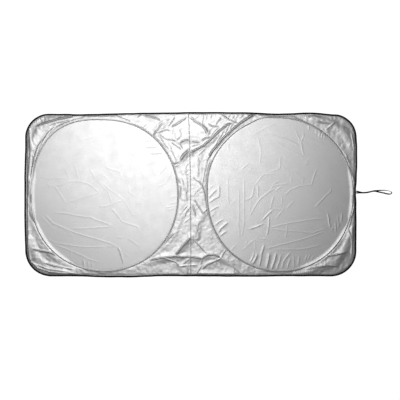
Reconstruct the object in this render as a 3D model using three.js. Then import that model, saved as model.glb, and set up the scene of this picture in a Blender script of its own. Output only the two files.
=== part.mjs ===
// Windscreen sunshade: silver cloth in two panels, joined at a middle seam and bound all round.
// A hoop of spring steel strip in a sewn casing holds each panel open, and an elastic loop at
// one end holds the folded shade together. Millimetres, +Z up: it lies face up on its back,
// with X along its length and its origin on the floor under its middle.

import * as THREE from 'three';

// Outline, measured over the binding
const LENGTH = 1450;
const HEIGHT = 718;
const TOP_DROP = 10; // fall of the top edge from its highest stretch to the corners
const TOP_CORNER_RADIUS = 98;
const BOTTOM_CORNER_RADIUS = 112;
const SEAM_LEAN = 11; // the seam's top end stands this far left of its foot
const SEAM_HEAD_DROP = 0.3; // and this far below the highest stretch of the top edge

// Cloth, tapes and the clearance between pieces that are sewn or laid together
const CLOTH_THICKNESS = 0.4;
const TAPE_THICKNESS = 0.4;
const FIT = 0.3;
const BINDING_REACH = 6.5; // onto each face of the cloth, from the outer edge
const CASING_WIDTH = 10;
const SEAM_TAPE_WIDTH = 12;
const BINDING_MARGIN = 0.5; // the cloth is held flat this far beyond the binding
const SEAM_MARGIN = 1; // and this far beyond the seam tape

// Hoops: width of each, and its gaps to the outline at the end, above it and below it. The cloth
// pulls each one off its superellipse: direction from its middle and spread to each side in
// degrees, and how far outwards.
const HOOPS = {
  left: { side: -1, width: 645, endGap: 24, topGap: 24, bottomGap: 23, pulls: [[128, 42, 20]] },
  right: {
    side: 1, width: 639, endGap: 15, topGap: 13, bottomGap: 23,
    pulls: [[55, 45, -6.5], [103, 12, 6], [157, 28, 5]],
  },
};
const HOOP_SQUARENESS = 2.1; // exponent of the superellipse: 2 is an ellipse
const STRIP_THICKNESS = 0.9;
const STRIP_HEIGHT = 3;
const STRIP_END_GAP = 1.5;
const FERRULE_LENGTH = 26;
const FERRULE_WALL = 0.4;

// Elastic loop
const ELASTIC_WIDTH = 6;
const ELASTIC_THICKNESS = 1;
const LOOP_EXIT_Y = 9; // the loop leaves the end of the shade this far above its middle
const LOOP_LEAN = 0.8; // where the band stands on edge its top leans outwards by this slope

// Fineness of the outline, the seam, the cloth outside the hoops and the loop
const EDGE_STEP = 42;
const CORNER_STEPS = 5;
const SEAM_STEPS = 17;
const DISC_RINGS = [0.4, 0.75]; // shares of the way from the hoop's middle to its casing
const SLACK_RINGS = 6;
const LOOP_STEPS = 60;

// The top edge from left to right: share of the half length, share of TOP_DROP
const TOP_EDGE = [
  [-0.7, 0.95], [-0.52, 0.75], [-0.25, 0.35], [0.14, 0], [0.36, 0.15], [0.54, 0.85], [0.73, 0.45],
];

// Folds in the slack cloth outside the hoops. Each runs along a path of points, given as shares
// of the half length and half height, rises this much and reaches this far to each side.
const FOLDS = [
  // top left corner
  { rise: 4, reach: 26, path: [[-0.97, 0.59], [-0.92, 0.78], [-0.85, 0.9], [-0.74, 0.94]] },
  // bottom left corner
  { rise: 4, reach: 26, path: [[-0.97, -0.56], [-0.94, -0.76], [-0.88, -0.87], [-0.78, -0.93]] },
  { rise: 2.5, reach: 22, path: [[-0.85, -0.72], [-0.77, -0.82], [-0.69, -0.9]] },
  // top right corner
  { rise: 3.5, reach: 24, path: [[0.74, 0.92], [0.84, 0.88], [0.93, 0.76], [0.97, 0.59]] },
  // bottom right corner
  { rise: 4, reach: 26, path: [[0.97, -0.42], [0.94, -0.64], [0.88, -0.82], [0.76, -0.91], [0.64, -0.94]] },
  { rise: 2, reach: 22, path: [[0.93, -0.71], [0.85, -0.77]] },
  // top edge beside the left hoop
  { rise: 2.5, reach: 22, path: [[-0.36, 0.9], [-0.27, 0.94], [-0.18, 0.9]] },
  { rise: 3, reach: 24, path: [[-0.22, 0.74], [-0.17, 0.86], [-0.11, 0.95]] },
  // the lozenge round the seam near the top
  { rise: 3, reach: 22, path: [[-0.02, 0.88], [-0.09, 0.81], [-0.07, 0.65], [0.01, 0.67], [0.07, 0.63]] },
  { rise: 3, reach: 22, path: [[-0.02, 0.88], [0.06, 0.84], [0.1, 0.74]] },
  // the long fold from the left hoop over the seam to the top edge
  { rise: 4.5, reach: 26, path: [[-0.07, 0.42], [-0.02, 0.51], [0.06, 0.57], [0.13, 0.68], [0.24, 0.85]] },
  // beside the right hoop, up to the top edge
  { rise: 3.5, reach: 22, path: [[0.11, 0.45], [0.17, 0.62], [0.22, 0.73], [0.3, 0.86], [0.37, 0.94]] },
  { rise: 2, reach: 22, path: [[0.18, 0.94], [0.26, 0.9]] },
  // the waist between the hoops
  { rise: 2, reach: 20, path: [[0.05, 0.5], [0.05, 0.2], [0.08, -0.08]] },
  { rise: 2, reach: 20, path: [[-0.05, 0.36], [-0.03, 0.1], [-0.05, -0.14]] },
  { rise: 2.5, reach: 22, path: [[0.08, -0.24], [0.05, -0.33], [0.03, -0.54]] },
  // beside the left hoop, below the waist
  { rise: 2.5, reach: 22, path: [[-0.06, -0.26], [-0.1, -0.47], [-0.17, -0.63]] },
  // the ridge down to the left of the seam, and the long fold across above the bottom edge
  { rise: 4, reach: 24, path: [[0, -0.52], [-0.05, -0.64], [-0.1, -0.74], [-0.17, -0.78]] },
  { rise: 3, reach: 24, path: [[-0.25, -0.82], [-0.09, -0.76], [0.04, -0.79], [0.12, -0.74], [0.24, -0.83]] },
  { rise: 2, reach: 22, path: [[-0.07, -0.88], [0.07, -0.89], [0.14, -0.84]] },
  // beside the right hoop, below the waist
  { rise: 2, reach: 20, path: [[0.13, -0.35], [0.18, -0.57], [0.25, -0.74]] },
];
const FOLD_START = 25; // folds rise over this distance from a hoop's casing
const SEAM_END_HOLD = 45; // the binding holds the seam's ends flat over this distance
const SEAM_END_EASE = 60;

// The loop's route, from its lower end on the binding round its tip and back: along X from the
// shade's end, along Y from the exit, height of the band's middle, and the turn of its width
// about its run, from lying flat at 0 to standing on edge at -90 degrees.
const LOOP_ROUTE = [
  [0, -3.4, 0.8, 0], [5, -3.4, 0.7, 0], [14, -2.7, 0.6, 0], [28, -2.9, 0.6, 0], [44, -2, 0.6, 0],
  [58, 0.6, 0.6, 0], [70, 4, 0.7, 0], [82, 5.2, 0.8, -4], [95, 3.6, 1.1, -8], [108, 0.2, 1.3, -12],
  [122, -4, 1.6, -18], [134, -7.2, 2, -28], [144, -8.5, 2.7, -52], [151, -7.5, 3, -82],
  [155, -4, 3, -90], [154, 0, 3, -88], [148, 3.6, 3.1, -78], [140, 6, 3.1, -68],
  [128, 7.8, 3, -60], [114, 8.2, 3, -52], [100, 7.4, 3.1, -38], [86, 6.4, 3.3, -18],
  [74, 4.8, 3.2, -6], [58, 1, 3.1, 0], [44, -1.4, 3.1, 0], [28, -2.1, 3.1, 0], [14, 0.6, 2.8, 0],
  [5, 3.3, 1.6, 0], [0, 3.4, 1.3, 0],
];

const CLOTH_REST = TAPE_THICKNESS + FIT; // underside of the cloth where it lies flat on the tapes
const BINDING_INSET = TAPE_THICKNESS + FIT; // from the outer edge to the cloth's own edge
const EDGE_BAND = BINDING_REACH + BINDING_MARGIN; // held flat along the outline, in the binding
const SEAM_BAND = SEAM_TAPE_WIDTH / 2 + SEAM_MARGIN; // held flat along the seam, on its tape
const CREST_HALF = STRIP_THICKNESS / 2 + FERRULE_WALL + 2 * FIT;
const RIGHT = LENGTH / 2;
const TOP = HEIGHT / 2;

const silverCloth = { color: 0xd4d6d8, roughness: 0.42, metalness: 0.55 };
const greyTape = { color: 0x8c8f92, roughness: 0.8, metalness: 0 };
const springSteel = { color: 0x9a9da0, roughness: 0.35, metalness: 1 };
const blackTape = { color: 0x121212, roughness: 0.85, metalness: 0 };

const sunshade = new THREE.Group();

function addPiece(name, geometry, finish) {
  const piece = new THREE.Mesh(geometry, new THREE.MeshStandardMaterial(finish));
  piece.name = name;
  sunshade.add(piece);
}

function solidFrom(points, triangles) {
  const geometry = new THREE.BufferGeometry().setFromPoints(points);
  geometry.setIndex(triangles);
  geometry.computeVertexNormals();
  return geometry;
}

// A solid through sections of equal point counts. A ring closes on itself, and any other loft
// gets a cap at each end. Sections run counterclockwise seen against the direction of travel.
function loft(sections, ring) {
  const count = sections[0].length;
  const points = sections.flat();
  const triangles = [];
  const bays = ring ? sections.length : sections.length - 1;
  for (let bay = 0; bay < bays; bay += 1) {
    const here = bay * count;
    const next = ((bay + 1) % sections.length) * count;
    for (let side = 0; side < count; side += 1) {
      const beside = (side + 1) % count;
      triangles.push(here + side, here + beside, next + beside);
      triangles.push(here + side, next + beside, next + side);
    }
  }
  return { points, triangles, count };
}

function ringSolid(sections) {
  const { points, triangles } = loft(sections, true);
  return solidFrom(points, triangles);
}

// profile is the section's flat outline, used only to divide the two end caps into triangles
function barSolid(sections, profile) {
  const { points, triangles, count } = loft(sections, false);
  const last = points.length - count;
  for (const [a, b, c] of THREE.ShapeUtils.triangulateShape(profile, [])) {
    triangles.push(a, c, b);
    triangles.push(last + a, last + b, last + c);
  }
  return solidFrom(points, triangles);
}

// The outline over the binding, counterclockwise from the seam's foot, and the station on it
// where the seam's top end is.
function makeOutline() {
  const foot = new THREE.Vector2(0, -TOP);
  const head = new THREE.Vector2(-SEAM_LEAN, TOP - SEAM_HEAD_DROP);
  const top = TOP_EDGE.map(([u, drop]) => new THREE.Vector2(u * RIGHT, TOP - drop * TOP_DROP));
  const shoulder = TOP - TOP_DROP;
  const upper = TOP_CORNER_RADIUS;
  const lower = BOTTOM_CORNER_RADIUS;
  const topRight = new THREE.Vector2(RIGHT - upper, shoulder);
  const topLeft = new THREE.Vector2(upper - RIGHT, shoulder);
  const turn = Math.PI / 2;
  const arc = (x, y, radius, start) => new THREE.EllipseCurve(x, y, radius, radius, start, start + turn);
  const line = (x1, y1, x2, y2) => new THREE.LineCurve(new THREE.Vector2(x1, y1), new THREE.Vector2(x2, y2));
  const rightHalf = [
    line(foot.x, foot.y, RIGHT - lower, -TOP),
    arc(RIGHT - lower, lower - TOP, lower, -turn),
    line(RIGHT, lower - TOP, RIGHT, shoulder - upper),
    arc(RIGHT - upper, shoulder - upper, upper, 0),
    new THREE.SplineCurve([topRight, ...top.filter((p) => p.x > head.x).reverse(), head]),
  ];
  const leftHalf = [
    new THREE.SplineCurve([head, ...top.filter((p) => p.x < head.x).reverse(), topLeft]),
    arc(upper - RIGHT, shoulder - upper, upper, turn),
    line(-RIGHT, shoulder - upper, -RIGHT, lower - TOP),
    arc(lower - RIGHT, lower - TOP, lower, 2 * turn),
    line(lower - RIGHT, -TOP, foot.x, foot.y),
  ];
  const stepsOf = (curve) => (
    curve instanceof THREE.EllipseCurve ? CORNER_STEPS : Math.round(curve.getLength() / EDGE_STEP)
  );
  const stations = (curves) => curves.flatMap((curve) => curve.getSpacedPoints(stepsOf(curve)).slice(0, -1));
  const rightStations = stations(rightHalf);
  return { points: [...rightStations, ...stations(leftHalf)], head: rightStations.length };
}

const outline = makeOutline();

// A station of the outline moved inwards, so that the edges beside it move by the same distance.
function inset(index, distance) {
  const { points } = outline;
  const here = points[index % points.length];
  const before = points[(index + points.length - 1) % points.length];
  const after = points[(index + 1) % points.length];
  const inward = (from, to) => new THREE.Vector2(from.y - to.y, to.x - from.x).normalize();
  const first = inward(before, here);
  const second = inward(here, after);
  const middle = first.clone().add(second).normalize();
  return here.clone().addScaledVector(middle, distance / middle.dot(first));
}

function topEdgeAt(x) {
  const { points } = outline;
  const index = points.findIndex((p, i) => p.y > 0 && p.x >= x && points[(i + 1) % points.length].x < x);
  const from = points[index];
  const to = points[(index + 1) % points.length];
  return THREE.MathUtils.mapLinear(x, from.x, to.x, from.y, to.y);
}

// Stations of the seam between its two ends, from its foot up
function makeSeam() {
  const head = outline.points[outline.head];
  const foot = outline.points[0];
  const lean = new THREE.CubicBezierCurve(
    foot,
    new THREE.Vector2(foot.x, foot.y / 3),
    new THREE.Vector2(foot.x, head.y / 2),
    head,
  );
  return { curve: lean, points: lean.getSpacedPoints(SEAM_STEPS).slice(1, -1) };
}

const seam = makeSeam();

// Rise of the folds at a point of the cloth
function foldRise(point) {
  let squares = 0;
  for (const { rise, reach, path } of FOLDS) {
    let nearest = reach;
    for (let i = 1; i < path.length; i += 1) {
      const from = new THREE.Vector2(path[i - 1][0] * RIGHT, path[i - 1][1] * TOP);
      const run = new THREE.Vector2(path[i][0] * RIGHT, path[i][1] * TOP).sub(from);
      const share = THREE.MathUtils.clamp(point.clone().sub(from).dot(run) / run.lengthSq(), 0, 1);
      nearest = Math.min(nearest, point.distanceTo(from.addScaledVector(run, share)));
    }
    squares += (rise * (1 - (nearest / reach) ** 2) ** 2) ** 2;
  }
  const toEnd = Math.min(point.distanceTo(outline.points[0]), point.distanceTo(outline.points[outline.head]));
  const free = THREE.MathUtils.smoothstep(toEnd, SEAM_END_HOLD, SEAM_END_HOLD + SEAM_END_EASE);
  return Math.sqrt(squares) * free;
}

// The rim of one panel, counterclockwise: its stations on the outline, then those on the seam.
// edge is the cloth's own edge, and band the line to which it is held flat inside that.
function panelRim(side) {
  const count = outline.points.length;
  const first = side > 0 ? 0 : outline.head;
  const last = side > 0 ? outline.head : count;
  const seamPoints = side > 0 ? [...seam.points].reverse() : seam.points;
  const rim = [];
  for (let index = first; index <= last; index += 1) {
    const onSeam = index === first || index === last;
    const edge = inset(index, BINDING_INSET);
    const band = inset(index, EDGE_BAND);
    if (onSeam) {
      edge.x += side * FIT / 2;
      band.x += side * SEAM_BAND;
    }
    rim.push({ edge, band, onOutline: index % count });
  }
  for (const point of seamPoints) {
    const edge = new THREE.Vector2(point.x + side * FIT / 2, point.y);
    const band = new THREE.Vector2(point.x + side * SEAM_BAND, point.y);
    rim.push({ edge, band, onOutline: null, seamPoint: point });
  }
  return rim;
}

// Everything in one half of the shade lies on the same rays, from the middle of its hoop to the
// stations of the panel's rim, so its pieces keep their clearances all the way round.
function layOut({ side, width, endGap, topGap, bottomGap, pulls }) {
  const rim = panelRim(side);
  const middleX = side * (RIGHT - endGap - width / 2);
  const hoopTop = topEdgeAt(middleX) - topGap;
  const hoopBottom = bottomGap - TOP;
  const middle = new THREE.Vector2(middleX, (hoopTop + hoopBottom) / 2);
  const halfHeight = (hoopTop - hoopBottom) / 2;
  const rays = rim.map(({ band }) => {
    const run = band.clone().sub(middle).normalize();
    const across = Math.abs(2 * run.x / width) ** HOOP_SQUARENESS;
    const along = Math.abs(run.y / halfHeight) ** HOOP_SQUARENESS;
    const turn = THREE.MathUtils.radToDeg(Math.atan2(run.y, run.x));
    const pulled = pulls.reduce((sum, [at, spread, out]) => {
      const apart = Math.abs(THREE.MathUtils.euclideanModulo(turn - at + 180, 360) - 180);
      return sum + out * (1 - THREE.MathUtils.smoothstep(apart, 0, spread));
    }, 0);
    return { run, reach: (across + along) ** (-1 / HOOP_SQUARENESS) + pulled };
  });
  const beyondHoop = (index, distance) => {
    const { run, reach } = rays[index % rays.length];
    return middle.clone().addScaledVector(run, reach + distance);
  };
  // The strip's ends meet in the bay between two stations at the end of the shade
  const bayReach = rays.map((ray, index) => side * (beyondHoop(index, 0).x + beyondHoop(index + 1, 0).x));
  const jointBay = bayReach.indexOf(Math.max(...bayReach));
  return { rim, middle, beyondHoop, jointBay };
}

const raised = (point, z) => new THREE.Vector3(point.x, point.y, z);

// A sheet of cloth with its underside through a middle point and the rings about it
function clothSolid(middle, rings) {
  const count = rings[0].length;
  const under = [middle, ...rings.flat()];
  const over = under.map((point) => raised(point, point.z + CLOTH_THICKNESS));
  const lift = under.length;
  const triangles = [];
  const facet = (a, b, c) => {
    triangles.push(a, c, b);
    triangles.push(lift + a, lift + b, lift + c);
  };
  for (let i = 0; i < count; i += 1) {
    const beside = (i + 1) % count;
    facet(0, 1 + i, 1 + beside);
    for (let ring = 1; ring < rings.length; ring += 1) {
      const inner = 1 + (ring - 1) * count;
      const outer = inner + count;
      facet(inner + i, outer + i, outer + beside);
      facet(inner + i, outer + beside, inner + beside);
    }
    const edge = 1 + (rings.length - 1) * count;
    triangles.push(edge + i, edge + beside, lift + edge + beside);
    triangles.push(edge + i, lift + edge + beside, lift + edge + i);
  }
  return solidFrom([...under, ...over], triangles);
}

// Rise of the cloth's edge, and of the binding on it, at each station of the outline
const edgeRise = new Array(outline.points.length).fill(0);

function addPanel(name, { rim, middle, beyondHoop, jointBay }) {
  const crest = CLOTH_REST + STRIP_HEIGHT + FIT;
  const overFerrule = [jointBay, (jointBay + 1) % rim.length];
  const crestAt = (index) => (overFerrule.includes(index) ? crest + FERRULE_WALL + FIT : crest);
  const ridge = (distance, height) => rim.map((station, index) => (
    raised(beyondHoop(index, distance), height(index))
  ));
  const flat = () => CLOTH_REST;
  const footIn = ridge(-CASING_WIDTH / 2, flat);
  const footOut = ridge(CASING_WIDTH / 2, flat);
  const disc = DISC_RINGS.map((share) => footIn.map((foot) => (
    raised(middle.clone().lerp(new THREE.Vector2(foot.x, foot.y), share), CLOTH_REST)
  )));

  const slackRise = (index, point) => {
    const fromHoop = point.distanceTo(beyondHoop(index, CASING_WIDTH / 2));
    return foldRise(point) * THREE.MathUtils.smoothstep(fromHoop, 0, FOLD_START);
  };
  const slack = [];
  for (let ring = 1; ring <= SLACK_RINGS; ring += 1) {
    slack.push(rim.map(({ band }, index) => {
      const point = beyondHoop(index, CASING_WIDTH / 2).lerp(band, ring / (SLACK_RINGS + 1));
      return raised(point, CLOTH_REST + slackRise(index, point));
    }));
  }
  const held = rim.map((station, index) => {
    if (station.onOutline === null) {
      return foldRise(station.seamPoint);
    }
    edgeRise[station.onOutline] = slackRise(index, station.band);
    return edgeRise[station.onOutline];
  });
  const band = rim.map((station, index) => raised(station.band, CLOTH_REST + held[index]));
  const edge = rim.map((station, index) => raised(station.edge, CLOTH_REST + held[index]));
  const crests = [ridge(-CREST_HALF, crestAt), ridge(CREST_HALF, crestAt)];
  const rings = [...disc, footIn, ...crests, footOut, ...slack, band, edge];
  addPiece(name, clothSolid(raised(middle, CLOTH_REST), rings), silverCloth);
}

// A section across a ring at one station, counterclockwise with inwards to the right
const slab = (inner, outer, low, high) => [
  raised(outer, low), raised(inner, low), raised(inner, high), raised(outer, high),
];
const slabProfile = [[0, 0], [1, 0], [1, 1], [0, 1]].map(([x, y]) => new THREE.Vector2(x, y));

function addCasing(name, { rim, beyondHoop }) {
  const half = CASING_WIDTH / 2;
  addPiece(name, ringSolid(rim.map((station, index) => (
    slab(beyondHoop(index, -half), beyondHoop(index, half), 0, TAPE_THICKNESS)
  ))), greyTape);
}

function addHoop(name, { rim, beyondHoop, jointBay }) {
  const half = STRIP_THICKNESS / 2;
  const section = (distance) => slab(distance(-half), distance(half), CLOTH_REST, CLOTH_REST + STRIP_HEIGHT);
  const inBay = (share) => (distance) => (
    beyondHoop(jointBay, distance).lerp(beyondHoop(jointBay + 1, distance), share)
  );
  const bay = beyondHoop(jointBay, 0).distanceTo(beyondHoop(jointBay + 1, 0));
  const endShare = STRIP_END_GAP / 2 / bay;
  const sections = [section(inBay(0.5 + endShare))];
  for (let step = 1; step <= rim.length; step += 1) {
    sections.push(section((distance) => beyondHoop(jointBay + step, distance)));
  }
  sections.push(section(inBay(0.5 - endShare)));
  addPiece(name, barSolid(sections, slabProfile), springSteel);
}

// The ferrule is pressed over the strip from above: a roof and two sides
function addFerrule(name, { beyondHoop, jointBay }) {
  const inner = STRIP_THICKNESS / 2 + FIT;
  const outer = inner + FERRULE_WALL;
  const low = CLOTH_REST;
  const high = CLOTH_REST + STRIP_HEIGHT + FIT;
  const profile = [
    [-outer, low], [-inner, low], [-inner, high], [inner, high],
    [inner, low], [outer, low], [outer, high + FERRULE_WALL], [-outer, high + FERRULE_WALL],
  ];
  const bay = beyondHoop(jointBay, 0).distanceTo(beyondHoop(jointBay + 1, 0));
  const endShare = FERRULE_LENGTH / 2 / bay;
  const sections = [0.5 - endShare, 0.5 + endShare].map((share) => profile.map(([inwards, z]) => (
    raised(beyondHoop(jointBay, -inwards).lerp(beyondHoop(jointBay + 1, -inwards), share), z)
  )));
  addPiece(name, barSolid(sections, profile.map(([x, y]) => new THREE.Vector2(x, y))), springSteel);
}

function addSeamTape() {
  const half = SEAM_TAPE_WIDTH / 2;
  const start = (BINDING_REACH + FIT) / seam.curve.getLength();
  const ends = [seam.curve.getPointAt(start), seam.curve.getPointAt(1 - start)];
  const sections = [ends[0], ...seam.points, ends[1]].map(({ x, y }) => {
    const rise = foldRise(new THREE.Vector2(x, y));
    return slab({ x: x - half, y }, { x: x + half, y }, rise, rise + TAPE_THICKNESS);
  });
  addPiece('seam_tape', barSolid(sections, slabProfile), greyTape);
}

// The binding is one tape folded round the edge, with the cloth between its two legs
function addBinding() {
  const high = CLOTH_REST + CLOTH_THICKNESS + FIT + TAPE_THICKNESS;
  const profile = [
    [0, 0], [BINDING_REACH, 0], [BINDING_REACH, TAPE_THICKNESS], [TAPE_THICKNESS, TAPE_THICKNESS],
    [TAPE_THICKNESS, high - TAPE_THICKNESS], [BINDING_REACH, high - TAPE_THICKNESS],
    [BINDING_REACH, high], [0, high],
  ];
  addPiece('edge_binding', ringSolid(outline.points.map((point, index) => (
    profile.map(([inwards, z]) => raised(inset(index, inwards), z + edgeRise[index]))
  ))), blackTape);
}

// A flat band swept along the loop's route, its width turned as the route says
function addElasticLoop() {
  const route = new THREE.CatmullRomCurve3(LOOP_ROUTE.map(([x, y, z]) => (
    new THREE.Vector3(RIGHT + FIT + x, LOOP_EXIT_Y + y, z)
  )));
  const halfWidth = ELASTIC_WIDTH / 2;
  const halfThick = ELASTIC_THICKNESS / 2;
  const soft = halfThick / 2;
  const corners = [
    [halfWidth - soft, -halfThick], [halfWidth, -soft], [halfWidth, soft], [halfWidth - soft, halfThick],
  ];
  const profile = [...corners, ...corners.map(([across, out]) => [-across, -out])];
  const sections = [];
  for (let step = 0; step <= LOOP_STEPS; step += 1) {
    const share = step / LOOP_STEPS;
    const place = route.getUtoTmapping(share) * (LOOP_ROUTE.length - 1);
    const before = Math.min(Math.floor(place), LOOP_ROUTE.length - 2);
    const turn = THREE.MathUtils.lerp(LOOP_ROUTE[before][3], LOOP_ROUTE[before + 1][3], place - before);
    const angle = THREE.MathUtils.degToRad(turn);
    const along = route.getTangentAt(share);
    const width = new THREE.Vector3(-LOOP_LEAN * Math.sin(angle) ** 2, Math.cos(angle), Math.sin(angle));
    width.addScaledVector(along, -width.dot(along)).normalize();
    const face = along.clone().cross(width);
    const point = route.getPointAt(share);
    sections.push(profile.map(([across, out]) => (
      point.clone().addScaledVector(width, across).addScaledVector(face, out)
    )));
  }
  addPiece('elastic_loop', barSolid(sections, profile.map(([x, y]) => new THREE.Vector2(x, y))), blackTape);
}

for (const [end, hoop] of Object.entries(HOOPS)) {
  const half = layOut(hoop);
  addPanel(`panel_${end}`, half);
  addCasing(`hoop_casing_${end}`, half);
  addHoop(`hoop_${end}`, half);
  addFerrule(`hoop_ferrule_${end}`, half);
}
addSeamTape();
addBinding();
addElasticLoop();

export default sunshade;
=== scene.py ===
# Windscreen sunshade, dressed for its picture: silver cloth in two panels over sprung hoops, a
# middle seam, a black binding and an elastic loop. Metres, lying face up on a pale floor.

import math

import bpy
import numpy as np
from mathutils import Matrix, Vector, bvhtree, kdtree
from mathutils.geometry import delaunay_2d_cdt


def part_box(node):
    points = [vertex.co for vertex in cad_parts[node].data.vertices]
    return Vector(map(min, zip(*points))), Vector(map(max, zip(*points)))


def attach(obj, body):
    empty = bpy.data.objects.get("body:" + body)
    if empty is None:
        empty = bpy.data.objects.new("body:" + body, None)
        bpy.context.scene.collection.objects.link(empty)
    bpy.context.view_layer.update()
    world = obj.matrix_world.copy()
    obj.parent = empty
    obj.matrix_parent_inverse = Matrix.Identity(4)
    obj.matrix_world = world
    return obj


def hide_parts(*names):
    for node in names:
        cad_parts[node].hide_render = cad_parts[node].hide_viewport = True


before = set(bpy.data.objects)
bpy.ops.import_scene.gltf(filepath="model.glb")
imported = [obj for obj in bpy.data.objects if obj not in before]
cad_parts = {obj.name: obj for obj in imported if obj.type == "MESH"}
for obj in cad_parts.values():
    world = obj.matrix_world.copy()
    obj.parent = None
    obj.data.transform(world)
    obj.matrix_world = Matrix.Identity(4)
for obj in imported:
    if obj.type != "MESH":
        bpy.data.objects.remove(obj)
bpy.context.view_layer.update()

MM = 0.001

# Outline, measured over the binding
LENGTH = 1.450
HEIGHT = 0.718
TOP_DROP = 0.010
TOP_CORNER_RADIUS = 0.098
BOTTOM_CORNER_RADIUS = 0.112
SEAM_LEAN = 0.011
SEAM_HEAD_DROP = 0.0003
TOP_EDGE = (
    (-0.7, 0.95), (-0.52, 0.75), (-0.25, 0.35), (0.14, 0), (0.36, 0.15), (0.54, 0.85), (0.73, 0.45),
)  # share of the half length, share of TOP_DROP

# Cloth, tapes and the clearance between them
CLOTH_THICKNESS = 0.4 * MM
TAPE_THICKNESS = 0.4 * MM
FIT = 0.3 * MM
BINDING_REACH = 6.5 * MM
BINDING_MORE = 1.4 * MM  # of the sewn tape's width, beyond that of the plain shape
CASING_WIDTH = 10 * MM
SEAM_TAPE_WIDTH = 12 * MM
EDGE_BAND = 7 * MM  # held flat along the outline
SEAM_BAND = 7 * MM  # held flat along the seam
CLOTH_REST = TAPE_THICKNESS + FIT  # underside of the cloth where it lies flat
BINDING_TOP = CLOTH_REST + CLOTH_THICKNESS + FIT + TAPE_THICKNESS
EDGE_WAVER = 0.7 * MM  # how far the sewn edge wanders inwards

# Stations along the long lines, which only set how fine a mesh is
LOOP_CURVE_STEPS = 24
LOOP_STATIONS = 300
CROWN_STEPS = 40
OUTLINE_STEP = 2.8 * MM
SEAM_STATIONS = 400
HOOP_STATIONS = 700
CASING_STATIONS = 620
SEAM_TAPE_STATIONS = 240
SEAM_ROW_STATIONS = 300

# The soft edge stands out beyond the plain outline all round, and bulges: near a column and row
# of the photograph, over a spread, by so much more
EDGE_OUT = 1.8 * MM
EDGE_BULGES = (
    (25, 198, 260 * MM, 4 * MM), (357, 158, 135 * MM, 3 * MM), (118, 276, 200 * MM, 4.6 * MM),
    (240, 276, 200 * MM, 1.6 * MM), (55, 114, 120 * MM, 2 * MM), (140, 113, 200 * MM, 1 * MM),
    (295, 114, 180 * MM, 2.4 * MM),
)

# Hoops: width of each, and its gaps to the outline at the end, above it and below it. The cloth
# pulls each one off its superellipse: direction from its middle and spread to each side in
# degrees, and how far outwards in millimetres.
HOOPS = {
    "left": {"side": -1, "width": 0.645, "end_gap": 0.024, "top_gap": 0.024, "bottom_gap": 0.023,
             "pulls": ((128, 42, 20),)},
    "right": {"side": 1, "width": 0.639, "end_gap": 0.015, "top_gap": 0.013, "bottom_gap": 0.023,
              "pulls": ((55, 45, -6.5), (103, 12, 6), (157, 28, 5))},
}
HOOP_SQUARENESS = 2.1
STRIP_HEIGHT = 3 * MM
CREST_HALF = 0.8 * MM  # half the width of cloth that lies on top of the hoop's strip
CREST_BULGE = 0.3 * MM  # how much that cloth stands up in the middle
CREST_FOOT = 2.8 * MM  # from the hoop's line to where the cloth is flat again
FERRULE_RISE = 0.75 * MM  # more of the cloth over the sleeve that joins the strip's ends
FERRULE_SPREAD = 1 * MM  # how much further out the cloth's foot lies there
FERRULE_END = (15 * MM, 24 * MM)  # from the sleeve's middle, where that begins to fall off and ends

# Elastic loop
ELASTIC_WIDTH = 6 * MM
ELASTIC_THICKNESS = 1 * MM
ELASTIC_FUZZ = 0.6 * MM  # of yarn over its cords, on both faces together
LOOP_EXIT = (LENGTH / 2 + FIT, 0.009)
LOOP_LEAN = 0.8  # where the band stands on edge its top leans outwards by this slope
# Along X and Y from the exit, height of the band's middle, turn of its width in degrees
LOOP_ROUTE = (
    (0.000, -0.0034, 0.0008, 0), (0.005, -0.0034, 0.0007, 0), (0.014, -0.0027, 0.0006, 0),
    (0.028, -0.0029, 0.0006, 0), (0.044, -0.0020, 0.0006, 0), (0.058, 0.0006, 0.0006, 0),
    (0.070, 0.0038, 0.0007, 0), (0.082, 0.0042, 0.0008, -4), (0.095, 0.0016, 0.0011, -6),
    (0.108, -0.0012, 0.0013, -8), (0.122, -0.0040, 0.0016, -14), (0.134, -0.0072, 0.0020, -16),
    (0.144, -0.0085, 0.0027, -28), (0.151, -0.0075, 0.0030, -62), (0.155, -0.0040, 0.0030, -82),
    (0.154, 0.0000, 0.0030, -84), (0.148, 0.0036, 0.0031, -78), (0.140, 0.0060, 0.0031, -68),
    (0.128, 0.0078, 0.0030, -60), (0.114, 0.0082, 0.0030, -52), (0.100, 0.0074, 0.0031, -38),
    (0.086, 0.0064, 0.0033, -18), (0.074, 0.0048, 0.0032, -6), (0.058, 0.0010, 0.0031, 0),
    (0.044, -0.0014, 0.0031, 0), (0.028, -0.0021, 0.0031, 0), (0.014, 0.0006, 0.0028, 0),
    (0.005, 0.0033, 0.0016, 0), (0.000, 0.0034, 0.0013, 0),
)

# The photograph looks straight down on the shade from far off. Its pixels, and the column and
# row on which the middle of the shade lies.
PICTURE = 400
PIXEL = 4.385 * MM
MIDDLE_COLUMN = 190.85
MIDDLE_ROW = 194.2
LENS = 200
SENSOR = 36


def on_floor(column, row):
    """The place under a point of the photograph."""
    return (column - MIDDLE_COLUMN) * PIXEL, (MIDDLE_ROW - row) * PIXEL


def smoothly(value, low, high):
    share = np.clip((value - low) / (high - low), 0, 1)
    return share * share * (3 - 2 * share)


def add_camera():
    lens = bpy.data.cameras.new("camera")
    lens.lens = LENS
    lens.sensor_width = SENSOR
    camera = bpy.data.objects.new("camera", lens)
    camera.location = (*on_floor(PICTURE / 2, PICTURE / 2), PICTURE * PIXEL * LENS / SENSOR)
    bpy.context.scene.collection.objects.link(camera)
    bpy.context.scene.camera = camera


add_camera()


# Materials


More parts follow.
